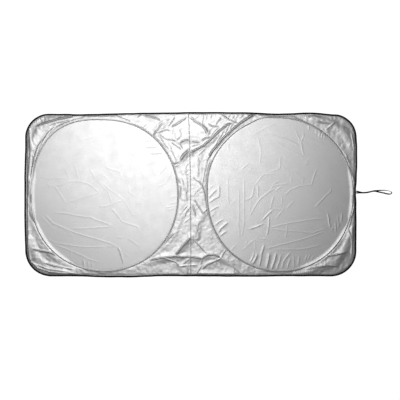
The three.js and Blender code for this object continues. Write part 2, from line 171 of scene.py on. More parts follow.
class Wire:
    """A socket in a tree of nodes that can stand in a sum."""

    def __init__(self, nodes, socket):
        self.nodes = nodes
        self.socket = socket

    def _with(self, operation, first, second):
        return self.nodes.node("ShaderNodeMath", {"operation": operation}, {0: first, 1: second})

    def __add__(self, other):
        return self._with("ADD", self, other)

    def __sub__(self, other):
        return self._with("SUBTRACT", self, other)

    def __mul__(self, other):
        return self._with("MULTIPLY", self, other)

    def __rsub__(self, other):
        return self._with("SUBTRACT", other, self)

    __radd__ = __add__
    __rmul__ = __mul__


class Nodes:
    """A tree of nodes, of a material or of the stitches."""

    def __init__(self, tree):
        self.tree = tree

    def node(self, kind, settings=None, inputs=None, output=0):
        """Adds a node with its settings, then its inputs, and returns one of its outputs."""
        made = self.tree.nodes.new(kind)
        for name, value in (settings or {}).items():
            setattr(made, name, value)
        for name, value in (inputs or {}).items():
            if isinstance(value, Wire):
                self.tree.links.new(value.socket, made.inputs[name])
            else:
                made.inputs[name].default_value = value
        return Wire(self, made.outputs[output])

    def end(self, kind, name, wire):
        """Adds the last node, which has no output, and leads a wire to it."""
        last = self.tree.nodes.new(kind)
        self.tree.links.new(wire.socket, last.inputs[name])


class Finish(Nodes):
    """A material and the nodes that it is made of."""

    def __init__(self, name):
        self.material = bpy.data.materials.new(name)
        self.material.use_nodes = True
        super().__init__(self.material.node_tree)
        self.tree.nodes.clear()

    def coordinates(self):
        return self.node("ShaderNodeTexCoord", output="Object")

    def uv(self):
        return self.node("ShaderNodeUVMap", {"uv_map": "tape"})

    def along(self, vector, axis):
        return self.node("ShaderNodeSeparateXYZ", inputs={0: vector}, output=axis)

    def noise(self, vector, size, detail=2.0, roughness=0.5):
        """Cloudy variation from 0 to 1, with patches of about that size in metres."""
        inputs = {"Vector": vector, "Scale": 1 / size, "Detail": detail, "Roughness": roughness}
        return self.node("ShaderNodeTexNoise", inputs=inputs)

    def sine(self, wire, pitch):
        return self.node("ShaderNodeMath", {"operation": "SINE"}, {0: wire * (2 * math.pi / pitch)})

    def bounded(self, wire, low, high, to_low=0.0, to_high=1.0):
        inputs = {0: wire, 1: low, 2: high, 3: to_low, 4: to_high}
        return self.node("ShaderNodeMapRange", {"clamp": True}, inputs)

    def blend(self, factor, first, second):
        """A colour between two, by factor."""
        inputs = {0: factor, 6: first, 7: second}
        return self.node("ShaderNodeMix", {"data_type": "RGBA"}, inputs, output=2)

    def bump(self, height, distance, strength, normal=None):
        inputs = {"Height": height, "Distance": distance, "Strength": strength}
        if normal is not None:
            inputs["Normal"] = normal
        return self.node("ShaderNodeBump", inputs=inputs)

    def surface(self, inputs):
        self.end("ShaderNodeOutputMaterial", "Surface", self.node("ShaderNodeBsdfPrincipled", inputs=inputs))
        return self.material


def grey(level, warmth=0.0):
    return (level * (1 + warmth), level, level * (1 - warmth), 1)


def silver_cloth():
    """Fine plain-weave cloth with a thin metal coat on its face and a duller back."""
    finish = Finish("silver_cloth")
    place = finish.coordinates()
    x = finish.along(place, 0)
    y = finish.along(place, 1)
    thread = 0.9 * MM
    weave = finish.sine(x, thread) * finish.sine(y, thread)
    crinkle = finish.noise(place, 7 * MM, 3.0, 0.6)
    mottle = finish.noise(place, 40 * MM, 3.0)
    back = finish.node("ShaderNodeAttribute", {"attribute_name": "back"}, output=2)
    face_colour = finish.blend(mottle, grey(0.80), grey(0.88))
    colour = finish.blend(back, face_colour, grey(0.30))
    wrinkled = finish.bump(crinkle, 0.35 * MM, 0.30)
    woven = finish.bump(weave, 0.03 * MM, 0.35, wrinkled)
    return finish.surface({
        "Base Color": colour,
        "Metallic": 0.72 - 0.6 * back,
        "Roughness": finish.bounded(mottle, 0.3, 0.7, 0.46, 0.51) + 0.3 * back,
        "Normal": woven,
    })


def woven_tape(name, colour, worn, rib, roughness):
    """Ribbed tape: ribs across it, threads along it, lighter where it is rubbed."""
    finish = Finish(name)
    place = finish.uv()
    along = finish.along(place, 0)
    across = finish.along(place, 1)
    ribs = finish.sine(along, rib)
    threads = finish.sine(across, rib * 0.45)
    fuzz = finish.noise(finish.coordinates(), 1.5 * MM, 3.0, 0.65)
    wear = finish.noise(finish.coordinates(), 25 * MM, 4.0, 0.6)
    height = 0.6 * ribs + 0.25 * threads + 0.5 * fuzz
    tint = finish.bounded(0.5 * wear + 0.25 * fuzz + 0.12 * ribs, 0.3, 0.62)
    return finish.surface({
        "Base Color": finish.blend(tint, colour, worn),
        "Roughness": finish.bounded(wear, 0.3, 0.7, roughness - 0.06, roughness + 0.06),
        "Normal": finish.bump(height, 0.12 * MM, 0.7),
        "Specular IOR Level": 0.2,
    })


def spring_steel():
    """Rolled strip, brushed along its length by the rolls."""
    finish = Finish("spring_steel")
    place = finish.coordinates()
    height = finish.along(place, 2)
    streak = finish.sine(height, 0.35 * MM) * 0.3 + finish.noise(place, 3 * MM, 4.0, 0.7)
    stain = finish.noise(place, 30 * MM, 3.0)
    return finish.surface({
        "Base Color": finish.blend(stain, grey(0.42), grey(0.58, 0.02)),
        "Metallic": 1.0,
        "Roughness": finish.bounded(streak, 0.2, 0.8, 0.26, 0.44),
        "Normal": finish.bump(streak, 0.03 * MM, 0.4),
    })


def sewing_thread(name, colour, lit):
    """Twisted thread."""
    finish = Finish(name)
    place = finish.coordinates()
    twist = finish.sine(finish.along(place, 0) + finish.along(place, 1) + finish.along(place, 2), 0.5 * MM)
    return finish.surface({
        "Base Color": finish.blend(finish.bounded(twist, -1, 1), colour, lit),
        "Roughness": 0.6,
        "Normal": finish.bump(twist, 0.06 * MM, 0.6),
    })


SILVER = silver_cloth()
BLACK_TAPE = woven_tape("black_tape", grey(0.010), grey(0.030), 1.1 * MM, 0.72)
BLACK_ELASTIC = woven_tape("black_elastic", grey(0.012), grey(0.040), 0.9 * MM, 0.70)
GREY_TAPE = woven_tape("grey_tape", grey(0.22), grey(0.33), 1.2 * MM, 0.78)
STEEL = spring_steel()
BLACK_THREAD = sewing_thread("black_thread", grey(0.010), grey(0.035))
GREY_THREAD = sewing_thread("grey_thread", grey(0.36), grey(0.52))


# Meshes


def finished(name, mesh, material):
    """Puts a mesh in the scene as a piece that rides on the shade."""
    mesh.materials.clear()
    mesh.materials.append(material)
    piece = bpy.data.objects.new(name, mesh)
    bpy.context.scene.collection.objects.link(piece)
    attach(piece, "root")
    return piece


def mesh_of(name, points, faces):
    mesh = bpy.data.meshes.new(name)
    mesh.from_pydata(points, [], faces)
    mesh.update()
    mesh.shade_smooth()
    return mesh


def swept(name, sections, closed):
    """A tube of tape through sections of equal point counts, with its own map: metres along it
    and metres round it."""
    stations, count = sections.shape[:2]
    points = sections.reshape(-1, 3)
    bays = stations if closed else stations - 1
    bay, side = np.meshgrid(np.arange(bays), np.arange(count), indexing="ij")
    here = bay * count
    there = (bay + 1) % stations * count
    beside = (side + 1) % count
    faces = np.stack([here + side, here + beside, there + beside, there + side], axis=-1).reshape(-1, 4)
    middle = sections.mean(1)
    steps = np.linalg.norm(np.diff(middle, axis=0, append=middle[:1]), axis=1)
    along = np.concatenate([[0], np.cumsum(steps)])
    round_it = np.linalg.norm(np.diff(sections[0], axis=0, append=sections[0][:1]), axis=1)
    across = np.concatenate([[0], np.cumsum(round_it)])
    u = np.stack([along[bay], along[bay], along[bay + 1], along[bay + 1]], axis=-1).reshape(-1)
    v = np.stack([across[side], across[side + 1], across[side + 1], across[side]], axis=-1).reshape(-1)
    if outward_volume(points, faces) < 0:
        faces = faces[:, ::-1]
        u = u.reshape(-1, 4)[:, ::-1].reshape(-1)
        v = v.reshape(-1, 4)[:, ::-1].reshape(-1)
        ends = [list(range(count)), [points.shape[0] - 1 - i for i in range(count)]]
    else:
        ends = [list(range(count))[::-1], [points.shape[0] - count + i for i in range(count)]]
    listed = faces.tolist()
    if not closed:
        listed += ends
        u = np.concatenate([u, np.zeros(2 * count)])
        v = np.concatenate([v, np.zeros(2 * count)])
    mesh = mesh_of(name, points.tolist(), listed)
    layer = mesh.uv_layers.new(name="tape")
    layer.data.foreach_set("uv", np.stack([u, v], axis=1).astype(np.float32).ravel())
    return mesh


def outward_volume(points, faces):
    """Positive where the faces look outwards."""
    a, b, c, d = (points[faces[:, corner]] for corner in range(4))
    return float((a * np.cross(b, c)).sum() + (a * np.cross(c, d)).sum())


def add_tape(name, sections, closed, material, solid):
    """A tape through its sections, in place of a plain solid."""
    piece = finished(name, swept(name, sections, closed), material)
    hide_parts(solid)
    return piece


# Elastic loop


def smooth_line(points, steps):
    """A line through all the points, each stretch between two of them cut into that many steps."""
    points = np.array(points, float)
    padded = np.concatenate([points[:1], points, points[-1:]])
    line = []
    for a, b, c, d in zip(padded, padded[1:], padded[2:], padded[3:]):
        for t in np.arange(steps) / steps:
            bend = (2 * a - 5 * b + 4 * c - d) * t**2 + (3 * b - a - 3 * c + d) * t**3
            line.append((2 * b + (c - a) * t + bend) / 2)
    return np.array([*line, points[-1]])


def evenly(line, count):
    """count + 1 points at equal steps along a line."""
    line = np.asarray(line, float)
    along = np.concatenate([[0], np.cumsum(np.linalg.norm(np.diff(line[:, :3], axis=0), axis=1))])
    at = np.linspace(0, along[-1], count + 1)
    return np.stack([np.interp(at, along, line[:, k]) for k in range(line.shape[1])], axis=1)


def band_profile():
    """Section of the elastic: cords of rubber side by side, so both faces are ribbed."""
    half_width = ELASTIC_WIDTH / 2
    half_thick = (ELASTIC_THICKNESS + ELASTIC_FUZZ) / 2
    cords = 5
    face = []
    for share in np.linspace(1, -1, 4 * cords + 1):
        rib = 0.82 + 0.18 * math.cos(2 * math.pi * cords * (share + 1) / 2 + math.pi)
        round_edge = (1 - abs(share) ** 6) ** 0.5
        face.append((share * half_width, half_thick * rib * max(round_edge, 0.35)))
    return face + [(-across, -out) for across, out in face]


def add_elastic_loop():
    """The elastic along its route, out from the binding and back, with its ribbed faces."""
    start_x, start_y = LOOP_EXIT
    lift = ELASTIC_FUZZ / 2
    route = [(start_x + x, start_y + y, z + lift, turn) for x, y, z, turn in LOOP_ROUTE]
    line = evenly(smooth_line(route, LOOP_CURVE_STEPS), LOOP_STATIONS)
    middle = line[:, :3]
    run = np.gradient(middle, axis=0)
    run /= np.linalg.norm(run, axis=1)[:, None]
    turn = np.radians(line[:, 3])
    width = np.stack([-LOOP_LEAN * np.sin(turn) ** 2, np.cos(turn), np.sin(turn)], axis=1)
    width -= (width * run).sum(1)[:, None] * run
    width /= np.linalg.norm(width, axis=1)[:, None]
    face = np.cross(run, width)
    profile = np.array(band_profile())
    sections = middle[:, None] + profile[None, :, :1] * width[:, None] + profile[None, :, 1:] * face[:, None]
    loop = add_tape("elastic_band", sections, False, BLACK_ELASTIC, "elastic_loop")


add_elastic_loop()


# Outline and seam


WAVES = 16  # summed up for one random wave or field


def arc(x, y, radius, start):
    """A quarter of a circle, counterclockwise from a direction in degrees."""
    turns = np.radians(start + np.linspace(0, 90, 61))
    return np.stack([x + radius * np.cos(turns), y + radius * np.sin(turns)], axis=1)


class Outline:
    """Stations round the shade, counterclockwise from the seam's foot, and the way inwards."""

    def __init__(self):
        right, top = LENGTH / 2, HEIGHT / 2
        upper, lower = TOP_CORNER_RADIUS, BOTTOM_CORNER_RADIUS
        shoulder = top - TOP_DROP
        foot = (0, -top)
        head = (-SEAM_LEAN, top - SEAM_HEAD_DROP)
        crown = [(u * right, top - drop * TOP_DROP) for u, drop in TOP_EDGE][::-1]
        right_top = [(right - upper, shoulder), *[p for p in crown if p[0] > head[0]], head]
        left_top = [head, *[p for p in crown if p[0] < head[0]], (upper - right, shoulder)]
        right_half = np.concatenate([
            [foot],
            arc(right - lower, lower - top, lower, -90),
            arc(right - upper, shoulder - upper, upper, 0),
            smooth_line(right_top, CROWN_STEPS)[1:],
        ])
        left_half = np.concatenate([
            smooth_line(left_top, CROWN_STEPS),
            arc(upper - right, shoulder - upper, upper, 90),
            arc(lower - right, lower - top, lower, 180),
            [foot],
        ])
        halves = []
        for half in (right_half, left_half):
            length = np.linalg.norm(np.diff(half, axis=0), axis=1).sum()
            halves.append(evenly(half, round(length / OUTLINE_STEP))[:-1])
        self.head = len(halves[0])
        self.points = np.concatenate(halves)
        self.count = len(self.points)
        way = np.roll(self.points, -1, axis=0) - np.roll(self.points, 1, axis=0)
        way /= np.linalg.norm(way, axis=1)[:, None]
        self.inward = np.stack([-way[:, 1], way[:, 0]], axis=1)
        self.along = np.arange(self.count) / self.count
        self.waver = EDGE_WAVER * (0.5 + 0.5 * np.clip(self.ripple(3, 5, 60), -1, 1)) - self.bulges()
        self.tree = kdtree.KDTree(self.count)
        for index, (x, y) in enumerate(self.points):
            self.tree.insert((x, y, 0), index)
        self.tree.balance()

    def ripple(self, seed, low, high):
        """A random wave, about 1 high, that closes on itself round the outline: low to high times."""
        rng = np.random.default_rng(seed)
        waves = rng.integers(low, high, WAVES)
        starts = rng.uniform(0, 2 * math.pi, WAVES)
        total = sum(np.cos(2 * math.pi * wave * self.along + start) for wave, start in zip(waves, starts))
        return total / math.sqrt(WAVES / 2)

    def bulges(self):
        """How far the soft edge stands out beyond the outline at each station."""
        out = np.full(self.count, EDGE_OUT)
        for column, row, spread, more in EDGE_BULGES:
            x, y = on_floor(column, row)
            apart = np.hypot(self.points[:, 0] - x, self.points[:, 1] - y)
            out = out + more * (1 - smoothly(apart, 0.2 * spread, spread))
        from_loop = np.hypot(self.points[:, 0] - LOOP_EXIT[0], self.points[:, 1] - LOOP_EXIT[1])
        return out * smoothly(from_loop, 10 * MM, 45 * MM)

    def inset(self, distance):
        """The outline moved inwards, by one distance or by one for each station."""
        return self.points + self.inward * np.reshape(distance, (-1, 1))

    def beside(self, x, y):
        """Distance inwards from the outline, and the nearest station."""
        nearest = np.array([self.tree.find((a, b, 0))[1] for a, b in zip(x, y)])
        run = np.stack([x, y], axis=1) - self.points[nearest]
        return (run * self.inward[nearest]).sum(1), nearest

    def top_at(self, x):
        """Height of the upper edge at x."""
        upper = self.points[self.points[:, 1] > 0]
        order = np.argsort(upper[:, 0])
        return float(np.interp(x, upper[order, 0], upper[order, 1]))


OUTLINE = Outline()


def seam_line():
    """The seam from its foot up, leaning a little to the left."""
    foot, head = OUTLINE.points[0], OUTLINE.points[OUTLINE.head]
    first, second = np.array([foot[0], foot[1] / 3]), np.array([foot[0], head[1] / 2])
    t = np.linspace(0, 1, SEAM_STATIONS)[:, None]
    return (1 - t) ** 3 * foot + 3 * t * (1 - t) ** 2 * first + 3 * t**2 * (1 - t) * second + t**3 * head


SEAM = seam_line()


def seam_x(y):
    return np.interp(y, SEAM[:, 1], SEAM[:, 0])


def degrees_apart(turn, at):
    """Degrees between directions in radians and one in degrees."""
    return np.abs((np.degrees(turn) - at + 180) % 360 - 180)


class Hoop:
    """One sprung hoop: a superellipse in its half of the shade, pulled out of shape in places."""

    def __init__(self, side, width, end_gap, top_gap, bottom_gap, pulls):
        self.side = side
        self.pulls = pulls
        self.half_width = width / 2
        x = side * (LENGTH / 2 - end_gap - self.half_width)
        top = OUTLINE.top_at(x) - top_gap
        bottom = bottom_gap - HEIGHT / 2
        self.middle = np.array([x, (top + bottom) / 2])
        self.half_height = (top - bottom) / 2

    def reach(self, turn):
        """From the middle to the hoop's line in a direction."""
        across = np.abs(np.cos(turn) / self.half_width) ** HOOP_SQUARENESS
        up = np.abs(np.sin(turn) / self.half_height) ** HOOP_SQUARENESS
        reach = (across + up) ** (-1 / HOOP_SQUARENESS)
        for at, spread, out in self.pulls:
            reach = reach + out * MM * (1 - smoothly(degrees_apart(turn, at), 0, spread))
        return reach

    def beside(self, x, y):
        """Distance outwards from the hoop's line, and the direction from its middle."""
        turn = np.arctan2(y - self.middle[1], x - self.middle[0])
        return np.hypot(x - self.middle[0], y - self.middle[1]) - self.reach(turn), turn

    def line(self, distance, count):
        """Points all round at a distance outwards from the hoop's line."""
        turn = np.linspace(0, 2 * math.pi, count, endpoint=False)
        run = np.stack([np.cos(turn), np.sin(turn)], axis=1)
        return self.middle + run * (self.reach(turn) + distance)[:, None]


hoops = {name: Hoop(**sizes) for name, sizes in HOOPS.items()}


# Shape of the cloth

# Main folds of the slack cloth outside the hoops, as in the part's source: rise and reach to each
# side in millimetres, and a path in shares of the half length and half height
FOLDS = (
    (4, 26, ((-0.97, 0.59), (-0.92, 0.78), (-0.85, 0.9), (-0.74, 0.94))),
    (4, 26, ((-0.97, -0.56), (-0.94, -0.76), (-0.88, -0.87), (-0.78, -0.93))),
    (2.5, 22, ((-0.85, -0.72), (-0.77, -0.82), (-0.69, -0.9))),
    (3.5, 24, ((0.74, 0.92), (0.84, 0.88), (0.93, 0.76), (0.97, 0.59))),
    (4, 26, ((0.97, -0.42), (0.94, -0.64), (0.88, -0.82), (0.76, -0.91), (0.64, -0.94))),
    (2, 22, ((0.93, -0.71), (0.85, -0.77))),
    (2.5, 22, ((-0.36, 0.9), (-0.27, 0.94), (-0.18, 0.9))),
    (3, 24, ((-0.22, 0.74), (-0.17, 0.86), (-0.11, 0.95))),
    (3, 22, ((-0.02, 0.88), (-0.09, 0.81), (-0.07, 0.65), (0.01, 0.67), (0.07, 0.63))),
    (3, 22, ((-0.02, 0.88), (0.06, 0.84), (0.1, 0.74))),
    (4.5, 26, ((-0.07, 0.42), (-0.02, 0.51), (0.06, 0.57), (0.13, 0.68), (0.24, 0.85))),
    (3.5, 22, ((0.11, 0.45), (0.17, 0.62), (0.22, 0.73), (0.3, 0.86), (0.37, 0.94))),
    (2, 22, ((0.18, 0.94), (0.26, 0.9))),
    (2, 20, ((0.05, 0.5), (0.05, 0.2), (0.08, -0.08))),
    (2, 20, ((-0.05, 0.36), (-0.03, 0.1), (-0.05, -0.14))),
    (2.5, 22, ((0.08, -0.24), (0.05, -0.33), (0.03, -0.54))),
    (2.5, 22, ((-0.06, -0.26), (-0.1, -0.47), (-0.17, -0.63))),
    (4, 24, ((0, -0.52), (-0.05, -0.64), (-0.1, -0.74), (-0.17, -0.78))),
    (3, 24, ((-0.25, -0.82), (-0.09, -0.76), (0.04, -0.79), (0.12, -0.74), (0.24, -0.83))),
    (2, 22, ((-0.07, -0.88), (0.07, -0.89), (0.14, -0.84))),
    (2, 20, ((0.13, -0.35), (0.18, -0.57), (0.25, -0.74))),
)
FOLD_SHARE = 0.6  # of that rise is a broad swell, and the rest is in the sharp creases
FOLD_START = 25 * MM  # beyond a casing, over which a fold comes up
SEAM_END_HOLD = 45 * MM  # round each end of the seam, without folds
SEAM_END_EASE = 60 * MM
HELD_EASE = 9 * MM  # over which the cloth's folds pass into those of its sewn edge and seam

# Sharp creases in the slack cloth: rise, reach to the left and to the right of their run in
# millimetres, and a path in columns and rows of the photograph, as in the next two tables
SLACK_CREASES = (
    # top left corner
    (3, 4, 6, ((36.5, 126.5), (41, 124.6), (48, 122), (56, 119.5), (65, 117.5), (76, 115.8))),
    (1, 3.5, 3.5, ((48.5, 125.5), (55, 123), (65, 120.8), (71, 118.8))),
    (1, 4, 4, ((58, 126.5), (68.4, 122.3), (80, 119.6), (91.3, 118.5))),
    (2.2, 6, 6, ((29.2, 128.5), (29.7, 135), (30.5, 143), (30.8, 150), (29.5, 166), (28.4, 181.5))),
    (1.8, 5, 5, ((42.5, 140), (38, 147), (34.5, 158), (31.6, 179))),
    (1.3, 3.5, 3.5, ((41, 145), (43, 141), (49, 132), (54.5, 127.5))),
    (0.9, 3, 3, ((41.5, 118.8), (43, 121.2))),
    (0.9, 3, 3, ((45, 117), (47, 119.6))),
    # top edge beside the left hoop
    (1.2, 4, 4, ((114.3, 115.2), (123, 118.8), (131.6, 121.8))),
    (1.4, 4, 4, ((138, 117.8), (141.8, 114.8))),
    (1.7, 5, 5, ((144, 116.2), (148.5, 116.6), (153, 117.5), (157, 118.6), (161.2, 121))),
    (1.3, 3.5, 3.5, ((157.2, 125), (161.5, 121.6), (163.8, 120.2))),
    (0.8, 3, 3, ((165, 119), (166.5, 120.6), (170, 118.6))),
    (1.8, 4, 5, ((153, 135.8), (156.5, 131), (160, 126), (164, 122.2))),
    (1.4, 4, 4, ((157, 132.2), (162, 131), (167.5, 129.5), (170.5, 130.4))),
    (1.4, 4, 4, ((167.8, 128), (171, 122.5), (174.8, 116.3))),
    (1.4, 4, 4, ((158.2, 132.8), (162, 136.5), (166, 139.3), (170, 139.5), (176.5, 141))),
    (1, 3.5, 3.5, ((157.7, 133.5), (161, 138.5), (164, 143), (169, 149))),
    (0.8, 3.5, 3.5, ((167, 141.5), (170, 145.5), (171.8, 151), (176.5, 160))),
    (1.3, 4, 4, ((171, 142), (176, 145.5), (182, 150))),
    (0.8, 3, 3, ((142.5, 128), (148, 123.5))),
    (0.8, 3, 3, ((145, 129), (149, 126))),
    # round the seam's head
    (2.2, 3, 12, ((186, 117.5), (181, 121.5), (176.5, 125), (171, 127.2))),
    (0.6, 3, 3, ((175.5, 127), (171.5, 134))),
    (1.8, 12, 3, ((189.8, 117), (194, 121), (202, 126), (205, 130), (207, 134))),
    (0.9, 3, 3, ((204, 126), (206.5, 130), (208.3, 133.5))),
    (1, 4, 4, ((203.5, 115), (202, 124))),
    (1.9, 5, 5, ((179.2, 142.2), (184, 140.4), (190, 139.4))),
    (1.7, 5, 5, ((191.3, 140.4), (196, 141.6), (200.3, 143))),
    (2.6, 6, 6, ((201.3, 142), (204, 138.8), (207.5, 138), (211.5, 137.4))),
    (1.2, 4, 4, ((191, 147), (196, 145.6), (200.5, 143.6))),
    (1.2, 3.5, 3.5, ((179, 141.5), (182.7, 150))),
    (1.1, 3.5, 3.5, ((177, 141), (179.8, 136.2))),
    (0.9, 3, 3, ((195, 118.5), (199.5, 115.6))),
    # the long fold from the left hoop over the seam to the top edge
    (2.4, 8, 5, ((174, 163.8), (178.3, 161.6))),
    (1.6, 4, 4, ((174.5, 167), (179.5, 164.8))),
    (2.6, 9, 9, ((179.8, 160.6), (183.5, 155), (189, 150.2))),
    (3.3, 5, 6, ((190, 152.3), (197, 149), (204, 145), (212, 138), (219, 131.2), (226, 125.6), (231, 123))),
    (1.3, 3.5, 3.5, ((211.5, 137), (214, 132.5), (217, 129.5), (220, 125.5))),
    # beside the right hoop, up to the top edge
    (3.8, 6.5, 6.5, ((209, 156.5), (213, 150), (219, 142.8), (224, 137), (229, 132.5), (234, 128),
                     (241, 122.6), (250, 116.3), (254, 114.6))),
    (2.4, 5, 5, ((216.5, 146), (219.2, 139), (221.8, 134))),
    (1.3, 3.5, 3.5, ((224.5, 135), (226, 131), (228, 126.5))),
    (1.3, 3.5, 3.5, ((229, 131.5), (231.5, 124.5))),
    (1.7, 4, 4, ((221.3, 115.3), (224.5, 117), (230, 120.3), (237.5, 123.8))),
    (1.7, 6, 4, ((215.3, 124.8), (219, 120), (221.2, 116.3))),
    (1.6, 4, 5, ((207.5, 123.6), (212, 126.2), (220.5, 126.4))),
    (1, 3, 3, ((208.3, 135), (209, 131), (212.5, 127.5))),
    (1, 3, 3, ((206, 115.5), (206.5, 119.5))),
    (1, 3, 3, ((210, 118.4), (212, 115))),
    (1, 3, 3, ((227.3, 118.7), (230.5, 114.8))),
    (1, 3, 3, ((231.8, 119.7), (233.9, 115.6))),
    (1, 3, 3, ((235.7, 118.4), (237.4, 115))),
    (1.2, 3.5, 3.5, ((238.5, 119.5), (243.5, 114.6))),
    # the waist between the hoops
    (1.1, 4, 4, ((198.3, 156), (198.6, 166), (198.4, 178))),
    (1.04, 4, 4, ((208, 157.5), (205.5, 168), (202.5, 182))),
    (0.78, 4, 4, ((198, 155.5), (204.6, 148.9))),
    (0.65, 3.5, 3.5, ((186, 166), (189.6, 162))),
    (0.65, 3.5, 3.5, ((183.5, 170), (186, 174.5), (190, 173))),
    (1.3, 4, 4, ((192.5, 176), (196, 179.8), (199.5, 181.5), (202, 186), (204, 192.5), (205.2, 202))),
    (0.98, 3.5, 3.5, ((175, 172), (178, 178), (181, 184))),
    (1.17, 3.5, 3.5, ((180.8, 185), (180.6, 198))),
    (0.91, 3.5, 3.5, ((199.5, 187.7), (193, 196))),
    (0.78, 3.5, 3.5, ((182.5, 178), (185.5, 190), (186.5, 201))),
    (1.3, 4, 4, ((194, 199), (197, 204), (203, 213), (206, 210), (208, 208))),
    (1.1, 4, 4, ((192, 203), (194, 209), (195.7, 216.7))),
    (0.98, 4, 4, ((189.5, 207), (185.5, 213), (184.3, 217))),
    (0.98, 4, 4, ((187.5, 205), (183.5, 210), (179.5, 215.5))),
    (0.78, 3.5, 3.5, ((190, 218), (184, 223))),
    (0.98, 4.5, 4.5, ((199, 220.8), (197, 230), (194.9, 238.7))),
    (0.91, 4.5, 4.5, ((174.5, 212), (172, 222), (167.5, 233))),
    # the ridge and the long fold above the bottom edge
    (2.55, 7, 5, ((190.5, 236.6), (188, 240), (183, 245.5), (175.5, 254.4))),
    (1.19, 3.5, 3.5, ((195.5, 241), (199, 245), (205, 252), (208.5, 254))),
    (2.72, 5, 4, ((150, 260), (162.1, 257.6), (170, 256.8), (175.5, 256), (181, 257), (190, 256.5),
                  (197, 257.5), (201.5, 258.5), (205, 256.5), (208, 254.5), (215, 254.8), (220.2, 257.6))),
    (2.21, 4, 4, ((202, 269), (207, 264.5), (215, 261), (220.5, 258.3))),
    (1.36, 4, 4, ((162.8, 257.6), (170, 260), (176, 262), (179.5, 266.5))),
    (1.36, 4, 4, ((183, 263.5), (189, 259))),
    (1.36, 4, 4, ((180, 266.5), (186, 265.5), (197, 265))),
    (1.19, 4, 4, ((187.5, 263), (187.5, 274.5))),
    (1.19, 4, 4, ((202, 258), (202, 262), (200, 265))),
    (1.19, 4, 4, ((196, 274.5), (201, 266))),
    (1.53, 5, 5, ((225.3, 249.9), (220.8, 257.6))),
    (1.27, 4.5, 4.5, ((231.6, 265.3), (239.9, 273.5))),
    (1.02, 4, 4, ((233.5, 268.4), (234.2, 273.5))),
    (1.53, 5, 5, ((161.7, 246.3), (168, 239.5), (174, 232.6))),
    # bottom left corner
    (2.5, 6, 6, ((33.2, 248.9), (50.5, 252.4), (63.3, 258.1), (77, 265.8))),
    (1.7, 4.8, 4.8, ((44.9, 263), (60, 267), (73.7, 269.3))),
    (3.2, 28, 3, ((31, 262), (38, 268.3), (50, 272.2), (62, 273.3), (76, 273.8))),
    (2.4, 22, 3, ((27.8, 228), (28.2, 246), (29.2, 256), (31, 262))),
    (2.2, 20, 3, ((200, 273.3), (216, 273.6), (236, 273.8))),
    (1.8, 4.8, 4.8, ((29.5, 261.6), (49.1, 269.3), (70.2, 272.1))),
    (1.4, 4.2, 4.2, ((33.7, 263.7), (43.5, 270.7))),
    (1.7, 4.8, 4.8, ((27.5, 195), (27.8, 218), (28.4, 241))),
    (1.2, 3.6, 3.6, ((35.2, 222.3), (42.9, 237.7), (53.6, 252.4))),
    # top right corner
    (1.7, 4.8, 4.8, ((306, 117.4), (312.8, 116.2), (320, 117.8))),
    (1.8, 4.8, 4.8, ((315.9, 121), (323, 122.8), (330.6, 123.6))),
    (1.5, 4.2, 4.2, ((326.1, 129.3), (335.1, 122.3))),
    (1.7, 4.2, 4.2, ((351, 133), (353, 142), (354.2, 151))),
    (1.7, 4.8, 4.8, ((345.9, 154.8), (350.4, 170.2), (353, 180), (356.1, 189.3))),
    (1.2, 3.6, 3.6, ((350.5, 188), (356, 192))),
    # bottom right corner
    (2.1, 5.4, 5.4, ((324.9, 256.3), (336, 254.5), (346, 252))),
    (2.1, 4.2, 4.2, ((352, 226), (352.3, 241), (351.5, 256))),
    (1.5, 4.2, 4.2, ((347.5, 228), (351, 236), (352, 246))),
    (1.4, 3.6, 3.6, ((350, 187), (354, 193), (350.5, 198), (354.5, 205))),
    (1.8, 5.4, 5.4, ((306.4, 269.1), (325.5, 265.3), (338.3, 265.9))),
    (1.4, 4.2, 4.2, ((348.5, 228.3), (351.5, 216), (354.8, 202.8))),
)

CREASE_EASE = 12 * MM  # over which a crease runs out at its ends

# Flat facets that the slack cloth falls into between its creases, large ones and small ones
FACET_SIZE = 34 * MM
FACET_RISE = 1.1 * MM
SMALL_FACET_SIZE = 10 * MM
SMALL_FACET_RISE = 0.9 * MM

